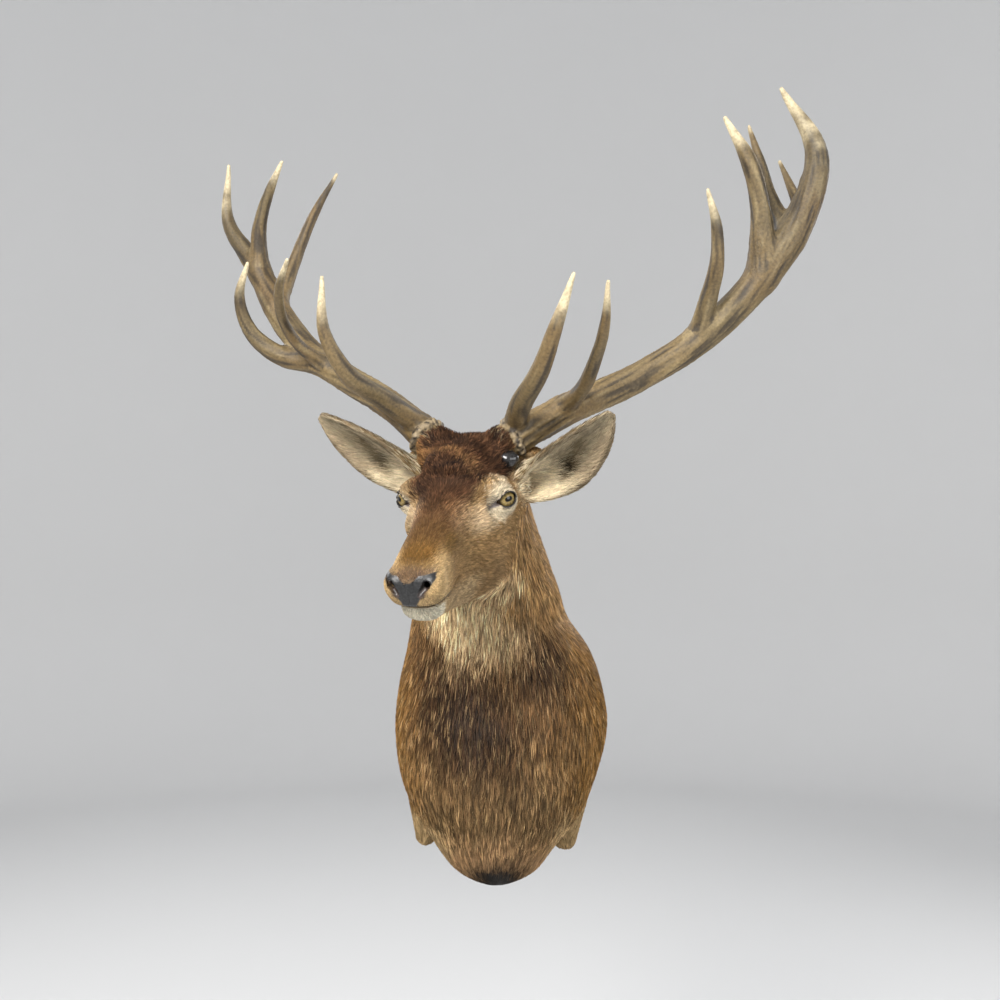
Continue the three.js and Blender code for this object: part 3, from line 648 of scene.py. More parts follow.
def make_object(name, vertices, faces, material):
    """Mesh object from millimetre vertices and one array of faces with equal corners."""
    mesh = bpy.data.meshes.new(name)
    corners = faces.shape[1]
    mesh.vertices.add(len(vertices))
    mesh.vertices.foreach_set("co", (np.asarray(vertices) * MM).astype(np.float32).ravel())
    mesh.loops.add(faces.size)
    mesh.loops.foreach_set("vertex_index", faces.astype(np.int32).ravel())
    mesh.polygons.add(len(faces))
    mesh.polygons.foreach_set("loop_start", np.arange(0, faces.size, corners, dtype=np.int32))
    mesh.update(calc_edges=True)
    mesh.polygons.foreach_set("use_smooth", np.ones(len(faces), bool))
    if material:
        mesh.materials.append(material)
    obj = bpy.data.objects.new(name, mesh)
    bpy.context.scene.collection.objects.link(obj)
    return obj


def store_colours(obj, values):
    """Stores one colour for each vertex."""
    layer = obj.data.color_attributes.new("coat_colour", "FLOAT_COLOR", "POINT")
    layer.data.foreach_set("color", np.c_[values, np.ones(len(values))].astype(np.float32).ravel())


def split_faces(vertices, faces, chosen):
    """Splits the chosen quads in four, with fans in their neighbours: points and triangles."""
    edges = np.stack([faces, np.roll(faces, -1, 1)], 2)
    ends = np.sort(edges, 2)
    key = ends[..., 0].astype(np.int64) * len(vertices) + ends[..., 1]
    halved = np.unique(key[chosen])
    middles = (vertices[halved // len(vertices)] + vertices[halved % len(vertices)]) / 2
    first_middle = len(vertices)
    centres = vertices[faces[chosen]].mean(1)
    first_centre = first_middle + len(middles)
    number = first_middle + np.searchsorted(halved, key)
    triangles = []
    quad, mid = faces[chosen], number[chosen]
    centre = first_centre + np.arange(len(quad))
    for i in range(4):
        corner, ahead, behind = quad[:, i], mid[:, i], mid[:, i - 1]
        triangles += [np.stack([corner, ahead, centre], 1), np.stack([corner, centre, behind], 1)]
    rest, has = faces[~chosen], np.isin(key[~chosen], halved)
    plain = ~has.any(1)
    triangles += [rest[plain][:, [0, 1, 2]], rest[plain][:, [0, 2, 3]]]
    border, split, mid = rest[~plain], has[~plain], number[~chosen][~plain]
    extra = first_centre + len(centres) + np.arange(len(border))
    for i in range(4):
        start, end = border[:, i], border[:, (i + 1) % 4]
        whole = ~split[:, i]
        triangles.append(np.stack([start, end, extra], 1)[whole])
        cut = split[:, i]
        triangles += [np.stack([start, mid[:, i], extra], 1)[cut],
                      np.stack([mid[:, i], end, extra], 1)[cut]]
    points = np.concatenate([vertices, middles, centres, vertices[border].mean(1)])
    return points, np.concatenate(triangles)


def feature_weight(p):
    """How near a point is to the eyes, nostrils or lips, where the mesh is finer."""
    face = drifted(to_face(p))
    half = folded(face)
    forward, _, up = half.T
    eye = length(half - EYE_CENTRE) < 31
    nose = (forward > 182) & (up > -98) & (up < -36)
    lips = (forward > 78) & (np.abs(up - mouth_line(forward)) < 7)
    return eye | nose | lips


def refine_near_features(vertices, faces):
    chosen = feature_weight(vertices[faces].mean(1))
    points, triangles = split_faces(vertices, faces, chosen)
    near = feature_weight(points)
    points[near] = settle(skin_distance, points[near], 0.0, 3, 0.8)
    return points, triangles


def thinned(points, triangles, share, loose):
    """The same surface with fewer triangles where loose is near 1."""
    rough = make_object("rough_skin", points, triangles, None)
    group = rough.vertex_groups.new(name="loose")
    for level in range(1, 5):
        chosen = np.flatnonzero(np.round(loose * 4) == level)
        group.add([int(i) for i in chosen], level / 4, "REPLACE")
    modifier = rough.modifiers.new("thin", "DECIMATE")
    modifier.ratio, modifier.vertex_group, modifier.vertex_group_factor = share, "loose", 4.0
    mesh = rough.evaluated_get(bpy.context.evaluated_depsgraph_get()).to_mesh()
    fewer = np.empty(len(mesh.vertices) * 3, np.float32)
    mesh.vertices.foreach_get("co", fewer)
    corners = np.empty(len(mesh.polygons) * 3, np.int32)
    mesh.loops.foreach_get("vertex_index", corners)
    bpy.data.objects.remove(rough)
    return fewer.reshape(-1, 3).astype(float) / MM, corners.reshape(-1, 3)


# ------------------------------------------------------------------ colours
def tone(red, green, blue):
    """Linear colour from 0..255 screen values."""
    c = np.array([red, green, blue]) / 255.0
    return np.where(c <= 0.04045, c / 12.92, ((c + 0.055) / 1.055) ** 2.4)


FOREHEAD_DARK, FOREHEAD_BAND, BETWEEN_EYES = tone(62, 41, 26), tone(104, 75, 47), tone(100, 73, 48)
GINGER, CENTRE_STRIPE, HALO = tone(136, 98, 56), tone(80, 55, 34), tone(148, 121, 92)
BRIDGE, BRIDGE_FRONT, NOSE_TOP = tone(95, 69, 40), tone(108, 78, 38), tone(112, 88, 64)
MUZZLE_SIDE, UPPER_LIP, CHIN = tone(186, 157, 112), tone(146, 125, 92), tone(204, 196, 174)
CHEEK, CHEEK_LOW = tone(138, 110, 73), tone(128, 102, 69)
JAW_SIDE, TEMPLE = tone(146, 124, 92), tone(128, 99, 63)
EYE_RING, UNDER_EYE, TEAR_DUCT = tone(220, 205, 176), tone(179, 156, 124), tone(92, 81, 76)
NECK_SIDE, NECK_LOW, THROAT = tone(130, 100, 63), tone(112, 83, 52), tone(208, 178, 136)
MANE_DARK, MANE_EDGE, CHEST = tone(50, 35, 23), tone(78, 56, 36), tone(116, 90, 59)
FLANK, FLANK_EDGE, LOWER_CHEST = tone(109, 79, 41), tone(100, 76, 45), tone(93, 73, 48)
BRISKET, BRISKET_TUFT, STUBS = tone(141, 111, 78), tone(24, 18, 12), tone(148, 124, 88)
EAR_INSIDE, EAR_HOLE_SHADE, EAR_BASE = tone(166, 152, 126), tone(38, 31, 22), tone(214, 198, 166)
EAR_FOLD_SHADE, EAR_LOBE = tone(96, 83, 60), tone(176, 158, 130)
EAR_RIM, EAR_BACK, TICKING = tone(84, 69, 48), tone(128, 106, 74), tone(172, 142, 100)
NOSE_EDGE, MUZZLE_FLANK = tone(104, 84, 70), tone(100, 75, 38)
NOSE_BLACK, LIP_BLACK, NOSTRIL_PINK = tone(33, 33, 34), tone(30, 26, 24), tone(70, 54, 47)


def blend(colour, other, weight):
    return colour + (other - colour) * np.clip(weight, 0, 1)[:, None]


def faded(x, centre, size):
    """1 at the middle of an ellipsoid, falling away softly to 0 at its edge."""
    level = length((x - np.array(centre, float)) / np.array(size, float))
    return ramp(1.0, 0.25, level)


def nose_pad_weight(face):
    """The bare leather between and round the nostrils."""
    forward, side, up = nose_frame(face).T
    width = np.interp(up, [-98, -92, -85, -79, -73, -66, -60, -53, -46],
                      [7, 9, 12, 16.5, 21, 27, 33, 38, 36])
    top = -59 + 9 * ramp(3, 18, side) + 3 * ramp(18, 34, side)
    inside = np.minimum(np.minimum(width - side, top - up), (forward - 176) * 0.5)
    return ramp(-1.0, 1.0, np.minimum(inside, up - mouth_line(forward) - 1.0))


def body_turn(p):
    left, right, back, front = BODY_AT(p[:, 2])
    return np.arctan2(p[:, 0] - (left + right) / 2, -p[:, 1] - (back + front) / 2)


# colour, and turn and height of the middle and half size of its patch, and strength
TRUNK_PATCHES = [
    (LOWER_CHEST, [0, -150], [1.1, 75], 1.0),
    (MANE_EDGE, [-0.78, 92], [0.5, 80], 0.8),
    (MANE_EDGE, [0.46, 118], [0.42, 74], 0.6),
    (MANE_EDGE, [-0.2, 5], [0.76, 150], 0.8),
    (MANE_DARK, [0.38, 100], [0.29, 88], 0.75),
    (MANE_DARK, [-0.26, 2], [0.62, 132], 0.95),
    (MANE_DARK, [-0.5, 72], [0.34, 52], 0.6),
]


def trunk_colour(p, wander):
    """Neck, mane, chest and stubs."""
    height, turn = p[:, 2] + wander, body_turn(p) + 0.014 * wander
    streaks = 26 * lattice_noise(p, [8, 8, 60], 21) + 16 * lattice_noise(p, [4, 4, 40], 22)
    place = np.stack([turn, height + streaks], 1)
    c = blend(NECK_SIDE[None] * np.ones((len(p), 1)), NECK_LOW, ramp(190, 60, height))
    c = blend(c, CHEST, ramp(30, -60, height))
    c = blend(c, FLANK, ramp(0.45, 0.95, np.abs(turn + 0.1)) * ramp(170, 80, height))
    c = blend(c, FLANK_EDGE, ramp(2.0, 2.6, np.abs(turn)) * ramp(180, 40, height) * 0.5)
    for colour, centre, size, strength in TRUNK_PATCHES:
        c = blend(c, colour, faded(place, centre, size) * strength)
    pale = length((place - [-0.16, 164]) / [0.46, 84])
    c = blend(c, THROAT, ramp(1.1, 0.3, pale))
    c = blend(c, BRISKET, ramp(-165, -205, height) * ramp(1.9, 1.3, np.abs(turn)))
    from_middle = np.abs(p[:, 0] + 4 + 0.3 * streaks)
    c = blend(c, BRISKET_TUFT, ramp(-204, -246, height + 0.5 * streaks) * ramp(64, 18, from_middle))
    c = blend(c, STUBS, ramp(-150, -190, height) * ramp(70, 95, np.abs(p[:, 0])))
    return c


def face_colour(p, face, half, wander):
    """Face and forehead, with lips, lids and nose leather."""
    forward, side, up = half.T
    outward = face[:, 1]
    spot = np.stack([forward, side, up], 1) + (0.25 * wander)[:, None]
    mottle = lattice_noise(p, 5.0, 14) + 0.6 * lattice_noise(p, 11.0, 15)
    f = blend(CHEEK[None] * np.ones((len(p), 1)), TEMPLE, ramp(-10, -60, forward) * ramp(-60, 0, up))
    f = blend(f, CHEEK_LOW, ramp(-60, -105, up))
    f = blend(f, JAW_SIDE, ramp(-86, -104, up) * ramp(20, 60, forward))
    under = up - JAW_AT(forward)[0]
    f = blend(f, THROAT, ramp(7, 1, under) * ramp(130, 90, forward) * 0.8)
    f = blend(f, MUZZLE_SIDE, ramp(120, 168, forward) * ramp(-16, -40, up))
    f = blend(f, BETWEEN_EYES, ramp(44, 26, side) * ramp(-40, -8, up) * ramp(-30, 40, forward))
    f = blend(f, HALO, 0.75 * ramp(20, 34, side) * ramp(-40, -12, up) * ramp(34, 52, forward)
              * ramp(118, 80, forward) * (0.6 + 0.5 * mottle))
    f = blend(f, BRIDGE, ramp(34, 20, side) * ramp(-40, -8, up) * ramp(84, 124, forward))
    f = blend(f, BRIDGE_FRONT, ramp(36, 18, side) * ramp(-58, -30, up) * ramp(126, 164, forward))
    f = blend(f, NOSE_TOP, ramp(26, 12, side) * ramp(186, 200, forward) * ramp(-64, -50, up))
    f = blend(f, MUZZLE_FLANK, faded(spot, [122, 34, -30], [34, 18, 24]) * 0.8)
    f = blend(f, NOSE_EDGE, nose_pad_weight(face - [0, 0, 5.5]) * 0.6)
    f = blend(f, UPPER_LIP, ramp(-70, -86, up) * ramp(130, 170, forward) * 0.7)
    f = blend(f, CHIN, ramp(-95, -99, up) * ramp(148, 163, forward + 4 * mottle))
    # forehead: dark cap with a lighter band across it, running down the middle of the face
    f = blend(f, CENTRE_STRIPE, ramp(24, 8, side + 5 * mottle) * ramp(126, 70, forward + 14 * mottle)
              * ramp(-16, 0, up))
    cap = ramp(90, 50, forward + 18 * mottle) * ramp(-4, 14, up + 4 * mottle)
    cap = cap * ramp(60, 46, side + 3 * mottle + 0.35 * forward - 12 * (outward < 0))
    woolly = 0.8 * lattice_noise(p, 5, 18) + lattice_noise(p, 10, 19) + 0.5 * lattice_noise(p, 18, 24)
    f = blend(f, FOREHEAD_DARK, cap)
    patchy = np.maximum(cap, 0.7 * ramp(120, 70, forward) * ramp(-34, -8, up) * ramp(50, 38, side))
    f = f * (1 + patchy * np.clip(0.85 * woolly, -0.6, 1.4))[:, None]
    arch = forward + 4 - 0.47 * outward + 0.75 * np.maximum(-25 - outward, 0) + 0.35 * wander + 3 * mottle
    band = bump(arch, 0, 8) * ramp(26, 38, up)
    f = blend(f, FOREHEAD_BAND, band * 0.85)
    f = blend(f, GINGER, band * ramp(36, 54, side) * np.where(outward < 0, 0.35, 0.9))
    f = blend(f, TEMPLE, ramp(58, 74, side) * ramp(20, -40, forward) * ramp(-40, 0, up))
    # pale ring round the eye, the bare duct in front of it and the dark rim of the lids
    a, b, e, line = eye_place(half)
    ball = np.sqrt(a * a + b * b + e * e)
    f = blend(f, UNDER_EYE, faded(spot, [36, 52, -20], [54, 34, 28]) * (0.95 + 0.25 * mottle))
    ring = np.hypot((a - 4) / 37, (b + 1) / 36) + 0.12 * mottle + ramp(-14, -24, a) * ramp(24, 8, np.abs(b))
    f = blend(f, EYE_RING, ramp(1.05, 0.5, ring) * ramp(-22, -8, e)
              * (0.95 - 0.8 * (outward < 0) * ramp(6, 16, b)))
    f = blend(f, EAR_BASE, faded(spot, [-84, 84, 4], [44, 34, 40]) * 0.8)
    margin = 2.4 + 1.2 * ramp(0, 5, b)
    f = blend(f, LIP_BLACK, ramp(0.6, -0.6, line - margin) * ramp(26, 23, ball) * ramp(0, 4, e))
    f = blend(f, TEAR_DUCT, ramp(2.4, 0.8, tear_duct(a, b, e)))
    f = blend(f, LIP_BLACK, ramp(2.0, 0.6, tear_duct(a, b, e)) * ramp(24, 29, a))
    f = blend(f, LIP_BLACK, ramp(3.0, 1.4, np.abs(up - mouth_line(forward))) * ramp(118, 140, forward))
    f = blend(f, NOSE_BLACK, nose_pad_weight(face))
    nostril = cone_distance(nose_frame(face), [206, 18, -75], [192, 37, -57], 4.0, 4.4)
    f = blend(f, NOSTRIL_PINK, ramp(2.4, -1.0, nostril) * 0.85)
    f = f * (1 + 0.13 * lattice_noise(p, 4.0, 20) + 0.09 * mottle)[:, None]
    return f


def colour_ears(p, c):
    """Colours the points of c that lie on the ears."""
    for ear, close, t, swing, shell, away in near_ears(p):
        inner = shell < 0
        low = -ear[0] * swing
        e = blend(EAR_BACK[None] * np.ones((len(t), 1)), EAR_RIM, ramp(0.66, 0.95, t))
        wisps = lattice_noise(p[close], [9, 9, 4], 16)
        inside = blend(EAR_INSIDE[None] * np.ones((len(t), 1)), EAR_LOBE, ramp(0.3, 0.7, low + 0.1 * wisps))
        inside = blend(inside, EAR_BASE, ramp(0.44, 0.24, t - 0.12 * ramp(0.3, 0.8, low)) * 0.95)
        # Painted shade: a dark patch deep in the cup, broken by wisps of hair, and a painted shadow along
        # the fold that crosses the cup.
        inside = blend(inside, EAR_FOLD_SHADE, bump(t, 0.68, 0.13) * bump(low, 0.1, 0.32) * (0.45 + 0.5 * wisps))
        crease = low + 0.43 - 2.1 * (0.72 - t)
        shadow = bump(crease, 0.06, 0.2) * ramp(0.26, 0.36, t) * ramp(0.80, 0.62, t)
        inside = blend(inside, EAR_FOLD_SHADE, shadow * 0.9)
        # Painted shade: the opening of the canal at the root of the cup is painted dark, more strongly in
        # the ear on the positive side.
        edges = [(0.42 - low) / 2.4, t - 0.35 - 0.09 * (0.46 - low),
                 0.43 + 0.17 * (low + 0.16) - t + 0.03 * wisps]
        hole_shade = ramp(-0.015, 0.03, np.min(edges, axis=0))
        inside = blend(inside, EAR_HOLE_SHADE, hole_shade * (0.9 if ear[0] > 0 else 0.5))
        # Painted light and shade: the two cups are brightened differently, the negative-side cup lighter
        # overall and darker towards its root, the positive-side cup lighter towards its root.
        base = ramp(0.44, 0.24, t)
        inside = inside * (1.12 - 0.22 * base if ear[0] < 0 else 1 + 0.14 * base)[:, None]
        e[inner] = inside[inner]
        e = blend(e, EAR_RIM, ramp(0.88, 0.98, np.abs(swing)) * ramp(0.2, 0.45, t) * 0.7)
        c[close] = blend(c[close], e, ramp(9, 4, away) * ramp(0.02, 0.14, t))


def markings(p):
    """The colour of the coat, and of the skin under it, at places on the animal."""
    face, half, head, body = measured(p)
    forward, _, up = half.T
    wander = 16 * lattice_noise(p, 55, 3) + 6 * lattice_noise(p, 18, 4)
    on_face = ramp(0, 48 - 30 * ramp(-40, 10, up), body - head + 0.6 * wander)
    c = blend(trunk_colour(p, wander), face_colour(p, face, half, wander), on_face)
    # Painted shade: the colour is darkened along the crease where the lower jaw meets the neck.
    fold = bump(body - head, 2, 7) * ramp(0, 40, forward) * ramp(135, 115, forward) * ramp(-96, -106, up)
    c = c * (1 - 0.75 * fold)[:, None]
    colour_ears(p, c)
    return c * (1 + 0.10 * lattice_noise(p, 9, 8) + 0.08 * lattice_noise(p, 28, 9))[:, None]


# ------------------------------------------------------------------ lie of the coat
def lie(p, normal):
    """The way the hair runs along the surface, as unit vectors."""
    face, half, head, body = measured(p)
    sign = np.where(face[:, 1] >= 0, 1.0, -1.0)
    forward, side, up = half.T
    turn = body_turn(p)
    z = p[:, 2]
    tangent = np.stack([np.cos(turn), np.sin(turn), 0 * z], 1)
    sideways = np.sin(np.clip(turn * 1.2, -math.pi, math.pi))
    sway = 0.42 * ramp(20, 140, z) * sideways - 0.5 * ramp(-20, -200, z) * sideways
    sway = sway + 0.16 * lattice_noise(p, 60, 12)
    down = np.array([0, 0, -1.0]) + sway[:, None] * tangent
    down = down + (ramp(120, 260, z) * ramp(1.2, 2.2, np.abs(turn)))[:, None] * np.array([0, 0.8, 0])
    # on the face: from the nose to the poll, out over the cheeks, down under the jaw
    back = np.stack([-np.ones(len(p)), 0.25 * ramp(0, 30, side) + 0.1, 0.05 - 0.35 * ramp(-10, -80, up)], 1)
    back[:, 2] -= 0.5 * ramp(150, 190, forward) * ramp(-60, -85, up)
    back[:, 1] += 0.5 * ramp(20, -20, forward) * ramp(20, 40, up) * ramp(4, 30, side)
    back[:, 2] += 0.5 * ramp(40, 10, forward) * ramp(10, 30, up)
    e = half - EYE_CENTRE
    ring = bump(length(e), 24, 11)
    back = back + 0.9 * ring[:, None] * unit(e) * np.array([0.5, 1, 1])
    whorl = 0.35 * lattice_noise(p, 26, 13) * ramp(40, 0, forward) * ramp(10, 34, up)
    back[:, 1] += whorl
    back[:, 1] *= sign
    on_face = turn_from_face(back)
    d = down + (on_face - down) * ramp(-6, 64 - 34 * ramp(-30, 20, up), body - head)[:, None]
    for ear, close, t, swing, _, away in near_ears(p):
        index = np.clip((t * 160).astype(int), 0, 160)
        along = ear[2][index] + ear[3][index] * (0.5 * np.sin(swing * 2.4) * ramp(0.9, 0.5, t))[:, None]
        w = (ramp(12, 5, away) * ramp(0.0, 0.16, t))[:, None]
        d[close] = d[close] + (along - d[close]) * w
    d = d - normal * (d * normal).sum(1, keepdims=True)
    return unit(d)


# ------------------------------------------------------------------ the coat's map
def skin_map(p):
    """Place of each point on a map of the skin: trunk, head and two ears unrolled side by side."""
    face, _, head, body = measured(p)
    on_head = body > head
    turn = body_turn(p)
    u = np.where(on_head, 0, (turn / (2 * math.pi) + 0.5) * 0.5)
    v = np.where(on_head, 0, (p[:, 2] + 300) / 760)
    roll = np.arctan2(face[:, 1], -(face[:, 2] + 40))
    u = np.where(on_head, 0.53 + (roll / (2 * math.pi) + 0.5) * 0.30, u)
    v = np.where(on_head, (face[:, 0] + 160) / 390, v)
    for ear, close, t, swing, shell, away in near_ears(p):
        on_ear = (away < 9) & (t > 0.06)
        inner = np.where(shell < 0, 0.25, 0.0)
        eu = 0.86 + (swing + 1) / 2 * 0.12
        ev = 0.02 + (0.5 if ear[0] < 0 else 0) + inner + t * 0.2
        u[close] = np.where(on_ear, eu, u[close])
        v[close] = np.where(on_ear, ev, v[close])
    return np.stack([u, np.clip(v, 0.0, 1.0)], 1) * 0.98 + 0.01


def set_map(obj, uv):
    layer = obj.data.uv_layers.new(name="OFBake")
    corner = np.empty(len(obj.data.loops), np.int32)
    obj.data.loops.foreach_get("vertex_index", corner)
    layer.data.foreach_set("uv", uv[corner].astype(np.float32).ravel())


# ------------------------------------------------------------------ materials
def new_material(name, **fixed):
    """Material, its node tree and shader; fixed sets the shader's inputs, with _ for each space."""
    material = bpy.data.materials.new(name)
    material.use_nodes = True
    tree = material.node_tree
    shader = tree.nodes["Principled BSDF"]
    for key, value in fixed.items():
        shader.inputs[key.replace("_", " ")].default_value = value
    return material, tree, shader


def node(tree, kind, inputs=None, **settings):
    made = tree.nodes.new(kind)
    for key, value in settings.items():
        setattr(made, key, value)
    for key, value in (inputs or {}).items():
        if isinstance(value, bpy.types.NodeSocket):
            tree.links.new(value, made.inputs[key])
        else:
            made.inputs[key].default_value = value
    return made


def stored(tree):
    return node(tree, "ShaderNodeAttribute", attribute_name="coat_colour").outputs["Color"]


def object_space(tree):
    return node(tree, "ShaderNodeTexCoord").outputs["Object"]


def multiplied(tree, colour, level):
    return node(tree, "ShaderNodeVectorMath", {0: colour, 1: level}, operation="MULTIPLY").outputs[0]


def noise_at(tree, where, scale, detail, **more):
    inputs = {"Vector": where, "Scale": scale, "Detail": detail, **more}
    return node(tree, "ShaderNodeTexNoise", inputs).outputs["Fac"]


def ranged(tree, value, low, high, **more):
    inputs = {"Value": value, "To Min": low, "To Max": high}
    inputs.update({key.replace("_", " "): number for key, number in more.items()})
    return node(tree, "ShaderNodeMapRange", inputs).outputs[0]


def varied(tree, colour, scale, low, high, detail=3.0):
    """The colour made lighter and darker by noise in the object's own space."""
    noise = noise_at(tree, object_space(tree), scale, detail)
    return multiplied(tree, colour, ranged(tree, noise, low, high, From_Min=0.3, From_Max=0.7))


def painted(tree, shader, colour):
    tree.links.new(colour, shader.inputs["Base Color"])


def bumped(tree, shader, height, strength, distance):
    made = node(tree, "ShaderNodeBump", {"Height": height, "Strength": strength, "Distance": distance})
    tree.links.new(made.outputs[0], shader.inputs["Normal"])


def hide_material():
    material, tree, shader = new_material("hide_skin", Roughness=0.8, Specular_IOR_Level=0.25)
    painted(tree, shader, varied(tree, stored(tree), 700.0, 0.6, 1.0))
    bumped(tree, shader, noise_at(tree, object_space(tree), 900.0, 2.0), 0.7, 0.0012)
    return material


def hair_material(name, roughness, gloss):
    material, tree, shader = new_material(name, Roughness=roughness, Specular_IOR_Level=gloss)
    painted(tree, shader, varied(tree, stored(tree), 420.0, 0.88, 1.1, 2.0))
    return material


def nose_material():
    material, tree, shader = new_material("nose_leather", Roughness=0.46, Coat_Weight=0.12,
                                          Coat_Roughness=0.3)
    leather = varied(tree, stored(tree), 160.0, 0.7, 1.3)
    pebble = node(tree, "ShaderNodeTexVoronoi", {"Vector": object_space(tree), "Scale": 400.0},
                  feature="SMOOTH_F1")
    # Painted shade and light: the leather is darkened in the crevices between pebbles and lightened on
    # their tops.
    level = ranged(tree, pebble.outputs["Distance"], 1.3, 0.35, From_Min=0.15, From_Max=0.65)
    painted(tree, shader, multiplied(tree, leather, level))
    bumped(tree, shader, pebble.outputs["Distance"], 0.5, -0.0006)
    return material


def lid_material():
    material, tree, shader = new_material("lid_skin", Roughness=0.42)
    painted(tree, shader, varied(tree, stored(tree), 500.0, 0.8, 1.2))
    bumped(tree, shader, noise_at(tree, object_space(tree), 1300.0, 2.0), 0.4, 0.0005)
    return material


def antler_material():
    material, tree, shader = new_material("antler_bone")
    painted(tree, shader, varied(tree, stored(tree), 260.0, 0.66, 1.2, 6.0))
    fine = noise_at(tree, object_space(tree), 520.0, 4.0)
    bumped(tree, shader, fine, 0.6, 0.0012)
    tree.links.new(ranged(tree, fine, 0.45, 0.7), shader.inputs["Roughness"])
    return material


def eye_material():
    material, tree, shader = new_material("eye_glass", Roughness=0.3, Specular_IOR_Level=0.0,
                                          Coat_Weight=1.0, Coat_IOR=1.4, Coat_Roughness=0.02)
    painted(tree, shader, varied(tree, stored(tree), 900.0, 0.92, 1.08))
    return material


def gloss_material():
    material, tree, shader = new_material("black_gloss", Roughness=0.22, Specular_IOR_Level=0.3,
                                          Coat_Weight=0.6, Coat_IOR=1.36, Coat_Roughness=0.05)
    base = node(tree, "ShaderNodeRGB")
    base.outputs[0].default_value = (0.012, 0.011, 0.011, 1)
    painted(tree, shader, varied(tree, base.outputs[0], 120.0, 0.6, 2.2))
    bumped(tree, shader, noise_at(tree, object_space(tree), 240.0, 3.0), 0.35, 0.001)
    return material


def pine_material():
    material, tree, shader = new_material("pine_board", Roughness=0.62)
    grain = node(tree, "ShaderNodeMapping", {"Vector": object_space(tree), "Scale": (60.0, 60.0, 3.0)})
    noise = noise_at(tree, grain.outputs[0], 1.6, 5.0, Distortion=1.2)
    ramp_node = node(tree, "ShaderNodeValToRGB", {"Fac": noise})
    ramp_node.color_ramp.elements[0].color = (0.30, 0.16, 0.07, 1)
    ramp_node.color_ramp.elements[0].position = 0.35
    ramp_node.color_ramp.elements[1].color = (0.56, 0.36, 0.18, 1)
    ramp_node.color_ramp.elements[1].position = 0.62
    painted(tree, shader, ramp_node.outputs[0])
    bumped(tree, shader, noise, 0.3, 0.0006)
    return material


def steel_material():
    material, tree, shader = new_material("zinc_steel", Metallic=0.9)
    base = node(tree, "ShaderNodeRGB")
    base.outputs[0].default_value = (0.42, 0.43, 0.45, 1)
    painted(tree, shader, varied(tree, base.outputs[0], 90.0, 0.75, 1.1))
    brush = noise_at(tree, object_space(tree), 700.0, 2.0)
    tree.links.new(ranged(tree, brush, 0.28, 0.5), shader.inputs["Roughness"])
    bumped(tree, shader, brush, 0.15, 0.0003)
    return material


HIDE, NOSE, LID, ANTLER = hide_material(), nose_material(), lid_material(), antler_material()
LONG_HAIR, SHORT_HAIR = hair_material("long_hair", 0.5, 0.14), hair_material("short_hair", 0.6, 0.1)
EYE, GLOSS, PINE, STEEL = eye_material(), gloss_material(), pine_material(), steel_material()

# ------------------------------------------------------------------ the skin
skin_points, skin_faces = surface_mesh(skin_distance, grid_lines((-290, 2.4), (220, 0)),
                                       grid_lines((-700, 2.3), (-328, 6), (6, 0)),
                                       grid_lines((-296, 6), (184, 2.3), (486, 0)))
skin_points = settle(skin_distance, skin_points, 0.0, 2, 1.5)
skin_points, skin_faces = refine_near_features(skin_points, skin_faces)
skin_face = drifted(to_face(skin_points))
loose = ramp(30, -25, skin_face[:, 0]) * ramp(-40, -90, skin_face[:, 2])
loose = np.maximum(loose, ramp(14, -10, body_distance(skin_points) - head_distance(skin_face)))
for ear in EARS:
    loose[ear_zone(skin_points, ear)] *= 0.0
skin_points, skin_faces = thinned(skin_points, skin_faces, 0.66, loose)
skin_points = settle(skin_distance, skin_points, 0.0, 1, 0.8)
skin = make_object("skin", skin_points, skin_faces, HIDE)
skin.data.materials.append(NOSE)
skin.data.materials.append(LID)
skin_colour = in_parts(markings, skin_points)
store_colours(skin, skin_colour * 0.8)
set_map(skin, skin_map(skin_points))


def bare_parts(p):
    """0 where the coat grows, 1 on the nose leather, 2 on lids and lips."""
    face = drifted(to_face(p))
    half = folded(face)
    forward, _, up = half.T
    a, b, c, line = eye_place(half)
    ball = np.sqrt(a * a + b * b + c * c)
    lid = (line < 2.2) & (ball < 24) & (c > 0) | (tear_duct(a, b, c) < 1.6)
    lip = (forward > 116) & (np.abs(up - mouth_line(forward)) < 2.2)
    kind = np.where(lid | lip, 2, 0)
    knob = ellipsoid_distance(face, KNOB_PLACE, [15, 18, 14]) < 0
    nostril = cone_distance(nose_frame(face), [207, 16, -74], [194, 34, -56], 4.5, 5.5) < 0
    return np.where((nose_pad_weight(face) > 0.5) | nostril | knob, 1, kind)


face_centres = skin_points[skin_faces].mean(1)
skin.data.polygons.foreach_set("material_index", bare_parts(face_centres).astype(np.int32))
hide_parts("head", "lower_jaw", "nose_pad", "neck", "trunk", "ear_left", "ear_right",
            "foreleg_left", "foreleg_right")
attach(skin, "root")

# ------------------------------------------------------------------ tufts and locks
_, skin_slope = gradient(skin_distance, face_centres)
face_normals = unit(skin_slope)
corners_a, corners_b, corners_c = (skin_points[skin_faces[:, i]] for i in range(3))
face_areas = length(np.cross(corners_b - corners_a, corners_c - corners_a)) / 2
face_kind = bare_parts(face_centres)
face_face = drifted(to_face(face_centres))
face_on_head = body_distance(face_centres) - head_distance(face_face)
ear_share = np.zeros(len(face_centres))
ear_inside = np.zeros(len(face_centres), bool)
for ear, close, place, _, shell, away in near_ears(face_centres):
    found = (away < 6.5) & (place > 0.08)
    numbers = np.flatnonzero(close)[found]
    ear_share[numbers] = ear[0]
    ear_inside[numbers] = shell[found] < 0
grows = (face_kind == 0) & ~((face_normals[:, 1] > 0.9) & (face_centres[:, 1] > -8))


